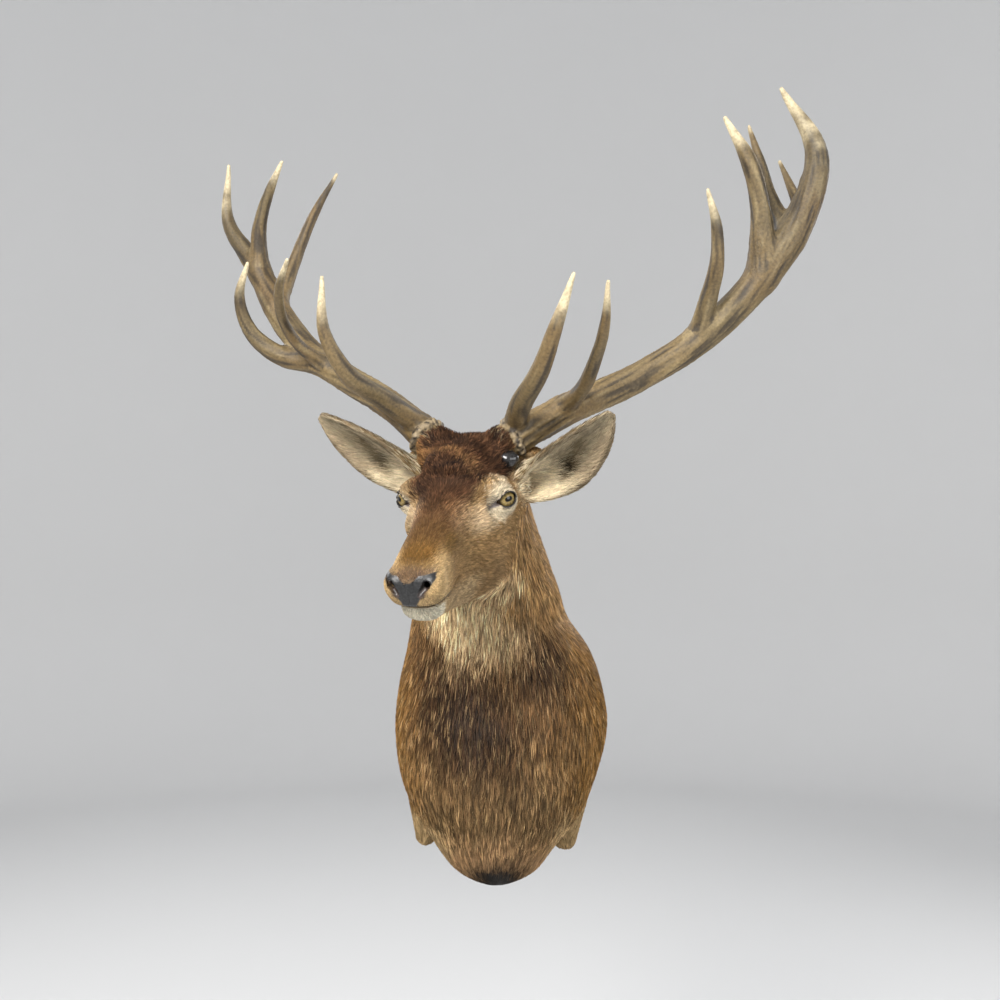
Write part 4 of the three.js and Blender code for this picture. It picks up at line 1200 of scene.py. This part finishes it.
def scatter(where, count):
    """Random places on the chosen faces: points, surface normals."""
    weight = face_areas * where
    total = np.cumsum(weight)
    pick = np.searchsorted(total, RNG.random(count) * total[-1])
    r, s = RNG.random(count), RNG.random(count)
    flip = r + s > 1
    r, s = np.where(flip, 1 - r, r), np.where(flip, 1 - s, s)
    a, b, c = corners_a[pick], corners_b[pick], corners_c[pick]
    return a + r[:, None] * (b - a) + s[:, None] * (c - a), face_normals[pick]


def fur_depth(p):
    face, _, head, body = measured(p)
    return coat_depth(p, face, head, body)


BODY_AXES, FACE_AXES = np.eye(3), FACE[[1, 2, 0]]      # the last row is the way the coat mostly runs


def nearest_lock(p, size, long, axes):
    """Offset to the middle of the lock that each tip belongs to, and the lock's random number."""
    stretch = np.array([1.0, 1.0, long])
    pull, number = nearest_lump(p @ axes.T / stretch, size, 5)
    return pull * stretch @ axes, number


ROOT_DEPTH, LONGEST_LOCK = 1.0, 40
NEAREST_TO_WALL, LOWEST_TUFT = -1.5, -285.0


def grow(name, where, count, width, material, reach=(2.3, 3.7), rise=(0.35, 1.0), depth=None, clump=3.0,
         long_clump=3.0, axes=FACE_AXES, gather=0.45, shade=(0.6, 1.12), contrast=0.22, stray=0.12,
         field=skin_distance, waviness=0.0, mix=3.0, bends=1, shorten=None, marked_at=0.0,
         ticked=0.0):
    """A coat piece: tapering locks from the skin, laid along it, with their tips at the coat's surface.

    width is (least, most); reach and rise are the lock's length and its tip's height as shares of the
    coat's depth, which is measured at each root unless one is given."""
    root, normal = scatter(where, count)
    direction = in_parts(lie, root, normal)
    direction = unit(direction + stray * RNG.standard_normal((count, 3)))
    thick = in_parts(fur_depth, root) if depth is None else np.full(count, float(depth))
    if shorten:
        thick = thick * shorten(root)
    long = np.minimum(thick * (reach[0] + (reach[1] - reach[0]) * RNG.random(count)), LONGEST_LOCK)
    wide = width[0] + (width[1] - width[0]) * RNG.random(count)
    wide = wide * np.clip(long / 9, 0.6, 1.0)
    lift = thick * (rise[0] + (rise[1] - rise[0]) * RNG.random(count) ** 0.7)
    middle = settle(field, root + direction * (long * 0.5)[:, None], lift * 0.62, 2)
    _, slope = gradient(field, middle)
    over = unit(slope)
    onward = unit(0.5 * in_parts(lie, middle, over) + 0.5 * direction)
    if waviness:
        swerve = np.cross(over, onward)
        onward = unit(onward + swerve * (waviness * lattice_noise(root, 7.0, 31))[:, None])
    tip = settle(field, middle + onward * (long * 0.5)[:, None], lift, 2)
    pull, number = nearest_lock(tip, clump, long_clump, axes)
    pull = (pull - over * (pull * over).sum(1, keepdims=True)
            - onward * (pull * onward).sum(1, keepdims=True))
    tip = tip + pull * gather
    middle = middle + pull * gather * 0.25
    base = root - normal * ROOT_DEPTH
    across = unit(np.cross(unit(tip - base), over))
    control = 2 * middle - 0.5 * (base + tip)

    def on_path(t):
        return (1 - t) ** 2 * base + 2 * t * (1 - t) * control + t ** 2 * tip

    half = (wide / 2)[:, None]
    if bends == 1:
        rings = [base, on_path(0.36) + across * half - over * half * 0.3, on_path(0.5) + over * half * 0.55,
                 on_path(0.36) - across * half - over * half * 0.3, tip]
        faces = [(0, 1, 2), (0, 2, 3), (1, 4, 2), (2, 4, 3)]
        fade = np.array([0.0, 0.5, 0.62, 0.5, 1.0])
        drop = np.array([[0, 0], [0.5, 0.4], [0, 0.5], [-0.5, 0.4], [0, 1]])
    else:
        rings = [base, on_path(0.28) + across * half - over * half * 0.3, on_path(0.3) + over * half * 0.6,
                 on_path(0.28) - across * half - over * half * 0.3,
                 on_path(0.66) + across * half * 0.7, on_path(0.68) + over * half * 0.6,
                 on_path(0.66) - across * half * 0.7, tip]
        faces = [(0, 1, 2), (0, 2, 3), (1, 4, 5), (1, 5, 2), (2, 5, 6), (2, 6, 3), (4, 7, 5), (5, 7, 6)]
        fade = np.array([0.0, 0.35, 0.4, 0.35, 0.75, 0.8, 0.75, 1.0])
        drop = np.array([[0, 0], [0.5, 0.3], [0, 0.3], [-0.5, 0.3],
                         [0.4, 0.7], [0, 0.7], [-0.4, 0.7], [0, 1]])
    points = np.stack(rings, 1)
    points[..., 1] = np.minimum(points[..., 1], NEAREST_TO_WALL)
    points[..., 2] = np.maximum(points[..., 2], LOWEST_TUFT)
    each = points.shape[1]
    start = (np.arange(count) * each)[:, None, None]
    obj = make_object(name, points.reshape(-1, 3), (np.array(faces)[None] + start).reshape(-1, 3), material)
    aside = mix * RNG.standard_normal((count, 3))
    aside = aside - normal * (aside * normal).sum(1, keepdims=True)
    colour = in_parts(markings, root + aside + marked_at * (tip - root))
    level = np.exp(contrast * (1.5 * (number * 2 - 1) + 0.4 * RNG.standard_normal(count)))
    tint = 1 + 0.035 * RNG.standard_normal((count, 3)) * [1, 0.2, -1]
    level = np.clip(level, 0.25, 2.6)[:, None] * tint
    ticks = (number * 7.31 % 1.0 < ticked) & (RNG.random(count) < 0.75)
    colour = blend(colour, TICKING, ticks * 0.42)
    # Each lock runs from dark at its root to light at its tip by shade: partly the hair's own banding,
    # partly painted shade where the roots lie under other hair.
    along = shade[0] + (shade[1] - shade[0]) * fade
    store_colours(obj, np.clip((colour * level)[:, None, :] * along[None, :, None], 0, 1).reshape(-1, 3))
    uv = skin_map(root)[:, None, :] + 0.003 * (drop[None] - [0, 0.5])
    set_map(obj, np.clip(uv, 0, 1).reshape(-1, 2))
    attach(obj, "root")


def coarse_field(p):
    return skin_distance(p, detail=False)


border = 38 + 16 * lattice_noise(face_centres, 9, 17) - 30 * ramp(-30, 20, face_face[:, 2])
to_short = ramp(-26, 26, face_on_head - border)
plain = grows & (ear_share == 0)
leg = foreleg_distance(face_centres)
height = face_centres[:, 2]
side_turn = body_turn(face_centres)
chest = plain & (height < 70)
upper = (plain & (height >= 70)) * (1 - to_short)
brisket = chest & (height < -185) & (np.abs(side_turn) < 1.9) & (leg > 7)
stub = chest & (height < -165) & (leg <= 7)
chest &= ~brisket & ~stub


def shorter_by_legs(p):
    return 0.45 + 0.55 * ramp(6, 55, foreleg_distance(p))


def shorter_by_face(p):
    _, _, head, body = measured(p)
    return 1 - 0.4 * ramp(-40, 30, body - head)


LONG_COAT = dict(long_clump=5.5, axes=BODY_AXES, contrast=0.64, field=coarse_field, marked_at=0.6,
                 stray=0.16, waviness=0.3, ticked=0.18)
for name, half_side in (("left", side_turn >= 0), ("right", side_turn < 0)):
    grow(f"coat_chest_{name}", chest & half_side, 47000, (0.75, 1.4), LONG_HAIR, clump=2.7, mix=13,
         shade=(0.32, 1.18), shorten=shorter_by_legs, **LONG_COAT)
    grow(f"coat_neck_{name}", upper * half_side, 45000, (0.7, 1.3), LONG_HAIR, clump=2.6, mix=11,
         shade=(0.36, 1.18), shorten=shorter_by_face, **LONG_COAT)
grow("coat_brisket", brisket, 16000, (0.9, 1.7), LONG_HAIR, reach=(3.0, 4.6), clump=3.4, long_clump=4.5,
     axes=BODY_AXES, contrast=0.42, field=coarse_field, mix=6, shade=(0.42, 1.12), marked_at=0.75,
     waviness=0.3, shorten=shorter_by_legs)
grow("coat_stubs", stub, 9000, (0.9, 1.6), SHORT_HAIR, depth=4.5, axes=BODY_AXES, contrast=0.3,
     field=coarse_field)

face_only = plain * to_short * (height >= 70)
ahead, _, above = face_face.T
muzzle = face_only * (ahead > 92)
crown = face_only * ((ahead < 30) & (above > 20))
rest = face_only * ((ahead <= 92) & ((ahead >= 30) | (above <= 20)))
near_eye = length(folded(face_face) - EYE_CENTRE)


def finer_by_features(p):
    """Shorter hair round the eyes and beside the nose leather and lips."""
    face = drifted(to_face(p))
    half = folded(face)
    by_eye = 0.5 + 0.5 * ramp(24, 52, length(half - EYE_CENTRE))
    by_nose = 0.6 + 0.4 * ramp(205, 170, face[:, 0])
    return by_eye * by_nose


grow("coat_muzzle", muzzle, 36000, (0.65, 1.1), SHORT_HAIR, reach=(2.6, 4.4), rise=(0.25, 0.85), clump=2.2,
     contrast=0.2, gather=0.3, shade=(0.76, 1.06), shorten=finer_by_features, marked_at=1.0)
grow("coat_face", rest * ramp(18, 30, near_eye), 46000, (0.75, 1.35), SHORT_HAIR, reach=(2.5, 4.0),
     rise=(0.28, 0.8), clump=2.4, contrast=0.3, shade=(0.66, 1.08), mix=4,
     shorten=finer_by_features, marked_at=0.5)
grow("coat_eye_rings", rest * ramp(42, 27, near_eye), 9000, (0.55, 0.9), SHORT_HAIR, reach=(2.6, 4.2),
     rise=(0.25, 0.8), clump=2.4, contrast=0.16, shade=(0.8, 1.06),
     shorten=finer_by_features, marked_at=1.0)
grow("coat_crown", crown, 24000, (0.9, 1.6), SHORT_HAIR, reach=(1.5, 2.5), clump=4.2, long_clump=1.5,
     gather=0.6, contrast=0.5, shade=(0.45, 1.15), waviness=0.8, stray=0.28, bends=2, mix=4,
     shorten=finer_by_features)
for number, ear in enumerate(EARS):
    name = ("left", "right")[number]
    mine = grows & (ear_share == ear[0])
    grow(f"coat_ear_{name}", mine & ~ear_inside, 9000, (0.8, 1.4), SHORT_HAIR, depth=2.4, reach=(3, 5),
         axes=BODY_AXES, clump=3)
    grow(f"coat_ear_inner_{name}", mine & ear_inside, 10000, (0.6, 1.1), SHORT_HAIR, depth=4.5,
         reach=(3, 5.5), clump=4, long_clump=1.8, contrast=0.18, shade=(0.75, 1.12), stray=0.18)

# ------------------------------------------------------------------ antlers
# points are (outward, forward, up) of the face axes, with a radius at even steps from root to tip
ANTLERS = {
    "left": {
        "beam": ([[53, -85, 60], [138, -134, 98], [226, -180, 131], [314, -216, 179], [390, -242, 247],
                  [452, -270, 330], [480, -292, 426], [432, -300, 520]], [25, 22, 21, 21, 23, 23, 17, 3]),
        "brow": ([[66, -96, 82], [94, -42, 124], [132, -4, 170], [162, 16, 230], [190, 20, 296]],
                 [16, 15, 13, 10, 2.5]),
        "bez": ([[120, -128, 96], [162, -104, 126], [194, -68, 176], [216, -36, 228], [228, -8, 282]],
                [13, 11.5, 9, 7, 2.5]),
        "trez": ([[314, -217, 186], [334, -198, 242], [348, -180, 288], [350, -172, 338], [340, -164, 388]],
                 [15, 12, 10.5, 8, 2.5]),
        "crown_front": ([[404, -248, 262], [404, -244, 354], [390, -238, 422], [358, -242, 484]],
                        [23, 14, 12, 3]),
        "crown_rear": ([[444, -268, 312], [416, -302, 368], [400, -330, 420], [382, -350, 476]],
                       [17, 10, 8, 2.5]),
        "crown_spur": ([[462, -276, 342], [444, -314, 382], [426, -340, 422]], [12, 6.5, 2.5]),
    },
    "right": {
        "beam": ([[-56, -85, 61], [-134, -128, 110], [-212, -166, 144], [-290, -198, 186],
                  [-352, -230, 248], [-400, -262, 322], [-454, -288, 394], [-450, -304, 484]],
                 [24, 21, 21, 21, 21, 18, 10.5, 2.5]),
        "brow": ([[-74, -98, 80], [-110, -50, 130], [-140, 0, 174], [-162, 18, 238], [-158, 16, 310]],
                 [17, 15, 13, 9, 2.5]),
        "bez": ([[-246, -180, 160], [-278, -144, 200], [-284, -106, 246], [-268, -72, 292],
                 [-236, -44, 334]],
                [12, 9, 8, 7, 2.5]),
        "trez": ([[-268, -190, 170], [-332, -184, 184], [-374, -174, 222], [-384, -166, 278],
                  [-360, -160, 330]],
                 [18, 15.5, 12, 8.5, 2.5]),
        "crown_front": ([[-390, -256, 306], [-384, -258, 380], [-362, -258, 432], [-332, -258, 480]],
                        [15, 11.5, 8.5, 2.5]),
        "crown_rear": ([[-358, -236, 256], [-342, -288, 326], [-318, -322, 394], [-282, -352, 458]],
                       [15, 10, 8, 2.5]),
    },
}
BURR_RADIUS, BURR_BEADS = 25.0, 21


def curve_through(points, steps):
    """Centripetal curve through the points, sampled evenly by its own parameter."""
    p = np.array(points, float)
    p = np.vstack([2 * p[0] - p[1], p, 2 * p[-1] - p[-2]])
    result = []
    for i in range(1, len(p) - 2):
        a, b, c, d = p[i - 1:i + 3]
        t0, t1 = 0, np.linalg.norm(b - a) ** 0.5
        t2 = t1 + np.linalg.norm(c - b) ** 0.5
        t3 = t2 + np.linalg.norm(d - c) ** 0.5
        t = np.linspace(t1, t2, steps, endpoint=False)[:, None]

        def between(low, high, start, end):
            return ((end - t) * low + (t - start) * high) / (end - start)

        a1, a2, a3 = between(a, b, t0, t1), between(b, c, t1, t2), between(c, d, t2, t3)
        b1, b2 = between(a1, a2, t0, t2), between(a2, a3, t1, t3)
        result.append(between(b1, b2, t1, t2))
    return np.vstack(result + [p[-2:-1]])


def antler_branch(points, radii):
    """Spine, radii, length so far and one side axis for each sample of a branch."""
    face_points = np.array(points, float)[:, [1, 0, 2]]
    spine = curve_through(from_face(face_points), 9)
    place = np.linspace(0, len(radii) - 1, len(spine))
    size = np.interp(place, np.arange(len(radii)), radii)
    size = np.convolve(np.pad(size, 2, "edge"), np.ones(5) / 5, "valid")
    size[-1] = radii[-1]
    run = np.r_[0, np.cumsum(length(np.diff(spine, axis=0)))]
    along = unit(np.gradient(spine, axis=0))
    across = unit(np.cross(along, [0.0, 1.0, 0.0]))
    return spine, size, run, along, across


def branch_place(p, branch):
    """Distance to a branch's surface and place along it, in samples of its spine."""
    spine, size, *_ = branch
    best = np.full(len(p), 1e9)
    place = np.zeros(len(p))
    for i in range(len(spine) - 1):
        axis = spine[i + 1] - spine[i]
        t = np.clip((p - spine[i]) @ axis / (axis @ axis), 0, 1)
        radius = size[i] + (size[i + 1] - size[i]) * t
        away = length(p - spine[i] - t[:, None] * axis) - radius
        closer = away < best
        best[closer] = away[closer]
        place[closer] = i + t[closer]
    return best, place


def round_spine(p, branch, place):
    """The point seen from the spine: two offsets across it, the length so far, radius, whole length."""
    spine, size, run, along, across = branch
    steps = np.arange(len(spine))
    centre, axis, side = (np.stack([np.interp(place, steps, column) for column in values.T], 1)
                          for values in (spine, along, across))
    axis, side = unit(axis), unit(side)
    offset = p - centre
    x, y = (offset * side).sum(1), (offset * np.cross(axis, side)).sum(1)
    return x, y, np.interp(place, steps, run), np.interp(place, steps, size), run[-1]


def antler_relief(p, branch, place, number):
    """Ridges, gutters and pearls of the bone, and how far along the branch each point is."""
    x, y, run, size, total = round_spine(p, branch, place)
    radial = np.maximum(np.hypot(x, y), 1e-3)
    twist = run * 0.004
    cx = (x * np.cos(twist) - y * np.sin(twist)) / radial * size
    cy = (x * np.sin(twist) + y * np.cos(twist)) / radial * size
    at = np.stack([cx, cy, run / 9 + 50 * number], 1)
    ridges = lattice_noise(at, 5.2, 41) + 0.6 * lattice_noise(at, 2.9, 42)
    share = run / total
    smooth = ramp(0.93, 0.62, share) if number else ramp(0.98, 0.8, share)
    pearls, _ = nearest_lump(np.stack([cx, cy, run], 1), 6.5, 43)
    pearl = np.exp(-(pearls ** 2).sum(1) / 9.0) * (0.5 + 0.5 * lattice_noise(p, 30, 44))
    low = ramp(0.62, 0.1, share) if number == 0 else ramp(0.4, 0.0, share)
    fine = lattice_noise(at, 1.7, 46)
    raised = (1.0 * ridges + 0.35 * fine) * (0.5 + size / 30) + 1.9 * pearl * low
    return raised * smooth, share, ridges, pearl * low


def burr_distance(p, beam):
    spine, _, _, along, across = beam
    offset = p - (spine[0] + along[0] * 13)
    high = offset @ along[0]
    flat = offset - high[:, None] * along[0]
    x, y = flat @ across[0], flat @ np.cross(along[0], across[0])
    turn, radial = np.arctan2(y, x), np.hypot(x, y)
    bead = np.abs(np.cos(turn * BURR_BEADS / 2 + 0.7 * np.sin(3 * turn))) ** 0.6
    ragged = lattice_noise(p, 5.0, 45)
    return np.hypot((radial - BURR_RADIUS) * 0.9, high * 0.95) - (3.2 + 2.6 * bead + 1.8 * ragged)


def antler_field(side):
    branches = [antler_branch(*branch) for branch in ANTLERS[side].values()]
    boxes = [(spine.min(0) - 45, spine.max(0) + 45) for spine, *_ in branches]

    def field(p):
        d = np.full(len(p), 60.0)
        for number, (branch, (low, high)) in enumerate(zip(branches, boxes)):
            close = ((p > low) & (p < high)).all(1)
            if not close.any():
                continue
            away, place = branch_place(p[close], branch)
            near = np.abs(away) < 12
            raised, *_ = antler_relief(p[close][near], branch, place[near], number)
            away[near] -= raised
            d[close] = smooth_min(d[close], away, 11 if number else 1)
        return smooth_min(d, burr_distance(p, branches[0]), 3)

    return field, branches


BONE, BONE_DARK, BONE_PALE = tone(113, 97, 66), tone(46, 37, 26), tone(150, 132, 95)
BONE_WARM, IVORY, BURR_PALE = tone(122, 98, 60), tone(214, 198, 162), tone(146, 128, 98)
# share of each branch that is still brown before its tip turns ivory
BROWN_SHARE = {"beam": 0.85, "brow": 0.72, "bez": 0.80, "trez": 0.74,
               "crown_front": 0.74, "crown_rear": 0.92, "crown_spur": 0.9}


def antler_colour(p, branches, side):
    nearest = np.full(len(p), 1e9)
    colour = np.zeros((len(p), 3))
    for number, branch in enumerate(branches):
        away, place = branch_place(p, branch)
        _, share, ridges, pearl = antler_relief(p, branch, place, number)
        c = blend(np.ones((len(p), 1)) * BONE, BONE_WARM, 0.5 + 0.7 * lattice_noise(p, 70, 51))
        c = blend(c, BONE_DARK, ramp(0.05, -0.75, ridges) * 0.85)
        c = blend(c, BONE_PALE, ramp(0.25, 0.95, ridges) * 0.7 + pearl * 0.5)
        c = blend(c, BONE_DARK, ramp(0.16, 0.0, share) * 0.35 * (number > 0))
        c = c * (1.0 - 0.42 * ramp(0.35, 0.8, share) if number == 0 else 0.8 + 0 * share)[:, None]
        brown = BROWN_SHARE[list(ANTLERS[side])[number]]
        tip = ramp(brown, brown + 0.55 * (1 - brown) + 0.06, share + 0.04 * lattice_noise(p, 14, 52))
        c = blend(c, IVORY, tip * np.clip(0.86 + 0.3 * lattice_noise(p, 9, 54), 0, 0.95))
        closer = away < nearest
        nearest = np.where(closer, away, nearest)
        colour[closer] = c[closer]
    burr = burr_distance(p, branches[0])
    lumps = lattice_noise(p, 4.0, 53)
    crust = blend(np.ones((len(p), 1)) * BURR_PALE, BONE_DARK, ramp(0.2, -0.5, lumps))
    return blend(colour, crust, ramp(3.0, 0.0, burr))


for side in ("left", "right"):
    field, branches = antler_field(side)
    low = np.min([spine.min(0) for spine, *_ in branches], 0) - 30
    high = np.max([spine.max(0) for spine, *_ in branches], 0) + 30
    points, quads = surface_mesh(field, *box_lines(low, high, 2.6))
    points = settle(field, points, 0.0, 1, 1.5)
    antler = make_object(f"antler_{side}", points, quads, ANTLER)
    store_colours(antler, np.clip(antler_colour(points, branches, side), 0, 1))
    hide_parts(*(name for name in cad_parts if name.startswith(f"antler_{side}_")))
    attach(antler, "root")

# ------------------------------------------------------------------ eyes
IRIS, IRIS_RIM, IRIS_PALE = tone(130, 110, 64), tone(36, 28, 20), tone(160, 144, 96)
PUPIL, EYE_WHITE = tone(10, 9, 9), tone(44, 32, 24)
IRIS_RADIUS, PUPIL_LENGTH, PUPIL_HEIGHT, PUPIL_RISE, PUPIL_SQUARENESS = 12.8, 5.6, 3.3, 0.8, 2.6
CORNEA_BULGE = 1.1
for name, side in (("left", 1), ("right", -1)):
    bands, turns = 84, 120
    polar = np.linspace(0, math.pi, bands + 1)[1:-1] ** 1.25 / math.pi ** 0.25
    angle, around_ball = np.meshgrid(polar, np.arange(turns) * 2 * math.pi / turns, indexing="ij")
    bulge = EYE_RADIUS + CORNEA_BULGE * ramp(0.95, 0.0, angle)
    a = bulge * np.sin(angle) * np.cos(around_ball)
    b = bulge * np.sin(angle) * np.sin(around_ball)
    c = bulge * np.cos(angle)
    poles = [[0, 0, EYE_RADIUS + CORNEA_BULGE], [0, 0, -EYE_RADIUS]]
    local = np.vstack([np.stack([a, b, c], -1).reshape(-1, 3), poles])
    half = EYE_CENTRE + local @ np.stack([EYE_ALONG, EYE_OVER, EYE_LOOK])
    points = from_face(half * [1, side, 1])
    ring = np.arange((bands - 1) * turns).reshape(bands - 1, turns)
    ahead = np.roll(ring, -1, 1)
    faces = [np.stack([ring[:-1], ahead[:-1], ahead[1:]], -1).reshape(-1, 3),
             np.stack([ring[:-1], ahead[1:], ring[1:]], -1).reshape(-1, 3),
             np.stack([ahead[0], ring[0], np.full(turns, local.shape[0] - 2)], -1),
             np.stack([ring[-1], ahead[-1], np.full(turns, local.shape[0] - 1)], -1)]
    faces = np.concatenate(faces)
    if side < 0:
        faces = faces[:, ::-1]
    eye = make_object(f"eyeball_{name}", points, faces, EYE)
    radial, twist = np.hypot(local[:, 0], local[:, 1]), np.arctan2(local[:, 1], local[:, 0])
    front = local[:, 2] > 0
    rays = lattice_noise(np.stack([np.cos(twist) * 6, np.sin(twist) * 6, radial * 0.12], 1), 0.55, 61)
    colour = np.ones((len(local), 1)) * IRIS
    colour = blend(colour, IRIS_PALE, ramp(0.0, 0.9, rays) * 0.7 * ramp(3, 7, radial))
    colour = blend(colour, IRIS_RIM, ramp(0.3, -0.9, rays) * 0.5)
    colour = blend(colour, IRIS_RIM, ramp(IRIS_RADIUS - 4.4, IRIS_RADIUS - 0.6, radial))
    square = PUPIL_SQUARENESS
    oval = ((np.abs(local[:, 0]) / PUPIL_LENGTH) ** square
            + (np.abs(local[:, 1] - PUPIL_RISE) / PUPIL_HEIGHT) ** square) ** (1 / square)
    colour = blend(colour, PUPIL, ramp(1.12, 0.9, oval) * front)
    colour = blend(colour, EYE_WHITE, ramp(IRIS_RADIUS - 0.3, IRIS_RADIUS + 0.5, radial) + ~front)
    # Painted shadow of the upper lid: the top of the eye is darkened.
    colour = colour * (1 - 0.4 * ramp(3, 11, local[:, 1]))[:, None]
    store_colours(eye, colour)
    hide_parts(f"eye_{name}")
    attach(eye, "root")

# ------------------------------------------------------------------ glossy lump in front of the left burr
KNOB = from_face(KNOB_PLACE)


def knob_distance(p):
    q = (p - KNOB) @ FACE.T
    d = ellipsoid_distance(q, [0, 0, 0], [15, 17, 12.5])
    d = smooth_min(d, ellipsoid_distance(q, [2, -10, 3], [10, 8, 9]), 6)
    return d + 0.9 * lattice_noise(p, 7, 71)


points, quads = surface_mesh(knob_distance, *box_lines(KNOB - 24, KNOB + 24, 1.5))
knob = make_object("knob", settle(knob_distance, points, 0.0, 2, 1.0), quads, GLOSS)
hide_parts("burr_knob")
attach(knob, "root")

# ------------------------------------------------------------------ board and hanger keep their solids
for name, material in (("backboard", PINE), ("hanger_plate", STEEL), ("hanger_screw_left", STEEL),
                       ("hanger_screw_right", STEEL)):
    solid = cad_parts[name]
    solid.data.materials.clear()
    solid.data.materials.append(material)

# ------------------------------------------------------------------ floor, backdrop and lights
FLOOR_HEIGHT, ROOM_RADIUS, ROOM_TOP, FLOOR_BEND = -1.45, 6.5, 5.5, 1.2     # metres


def plain_material(name, colour, roughness):
    material, tree, shader = new_material(name, Roughness=roughness)
    noise = noise_at(tree, object_space(tree), 1.2, 3.0)
    painted(tree, shader, ranged(tree, noise, colour * 0.98, colour))
    return material


def turned_surface(name, profile, material, turns=96):
    """Surface of revolution about the vertical, from (radius, height) pairs in metres."""
    angle = np.arange(turns) * 2 * math.pi / turns
    rings = [np.stack([r * np.cos(angle), r * np.sin(angle), np.full(turns, z)], 1) for r, z in profile]
    points = np.concatenate(rings) / MM
    ring = np.arange(len(points)).reshape(len(profile), turns)
    ahead = np.roll(ring, -1, 1)
    quads = np.stack([ring[:-1], ahead[:-1], ahead[1:], ring[1:]], -1).reshape(-1, 4)
    return make_object(name, points, quads, material)


PALE = plain_material("pale_backdrop", 0.68, 0.9)
bend = [(ROOM_RADIUS - FLOOR_BEND + FLOOR_BEND * math.sin(t),
         FLOOR_HEIGHT + FLOOR_BEND - FLOOR_BEND * math.cos(t)) for t in np.linspace(0, math.pi / 2, 14)]
room = turned_surface("backdrop", [(0.02, FLOOR_HEIGHT), (2.0, FLOOR_HEIGHT)] + bend
                      + [(ROOM_RADIUS, ROOM_TOP)], PALE)


def soft_light(name, place, target, size, power, colour):
    data = bpy.data.lights.new(name, "AREA")
    data.shape, data.size, data.energy, data.color = "DISK", size, power, colour
    light = bpy.data.objects.new(name, data)
    light.location = place
    light.rotation_euler = (Vector(target) - Vector(place)).to_track_quat("-Z", "Y").to_euler()
    bpy.context.scene.collection.objects.link(light)


# place and target in metres, width in metres, power in watts, colour
LIGHTS = {
    "key": ((-1.3, -3.2, 1.9), (0, -0.35, 0.2), 1.4, 178, (1.0, 0.98, 0.95)),
    "fill": ((2.3, -2.6, 0.9), (0, -0.3, 0.15), 2.2, 60, (0.98, 0.99, 1.0)),
    "back_left": ((-2.6, 2.0, 2.2), (0, -0.3, 0.3), 2.0, 60, (1.0, 1.0, 1.0)),
    "back_right": ((2.4, 2.2, 1.6), (0, -0.3, 0.2), 2.0, 50, (1.0, 1.0, 1.0)),
}
SKY_COLOUR, SKY_STRENGTH = (0.95, 0.97, 1.0, 1), 0.7
for name, values in LIGHTS.items():
    soft_light(name, *values)

world = bpy.data.worlds.new("studio")
world.use_nodes = True
sky = world.node_tree.nodes["Background"]
sky.inputs["Color"].default_value = SKY_COLOUR
sky.inputs["Strength"].default_value = SKY_STRENGTH
bpy.context.scene.world = world
bpy.context.scene.view_settings.view_transform = "Standard"
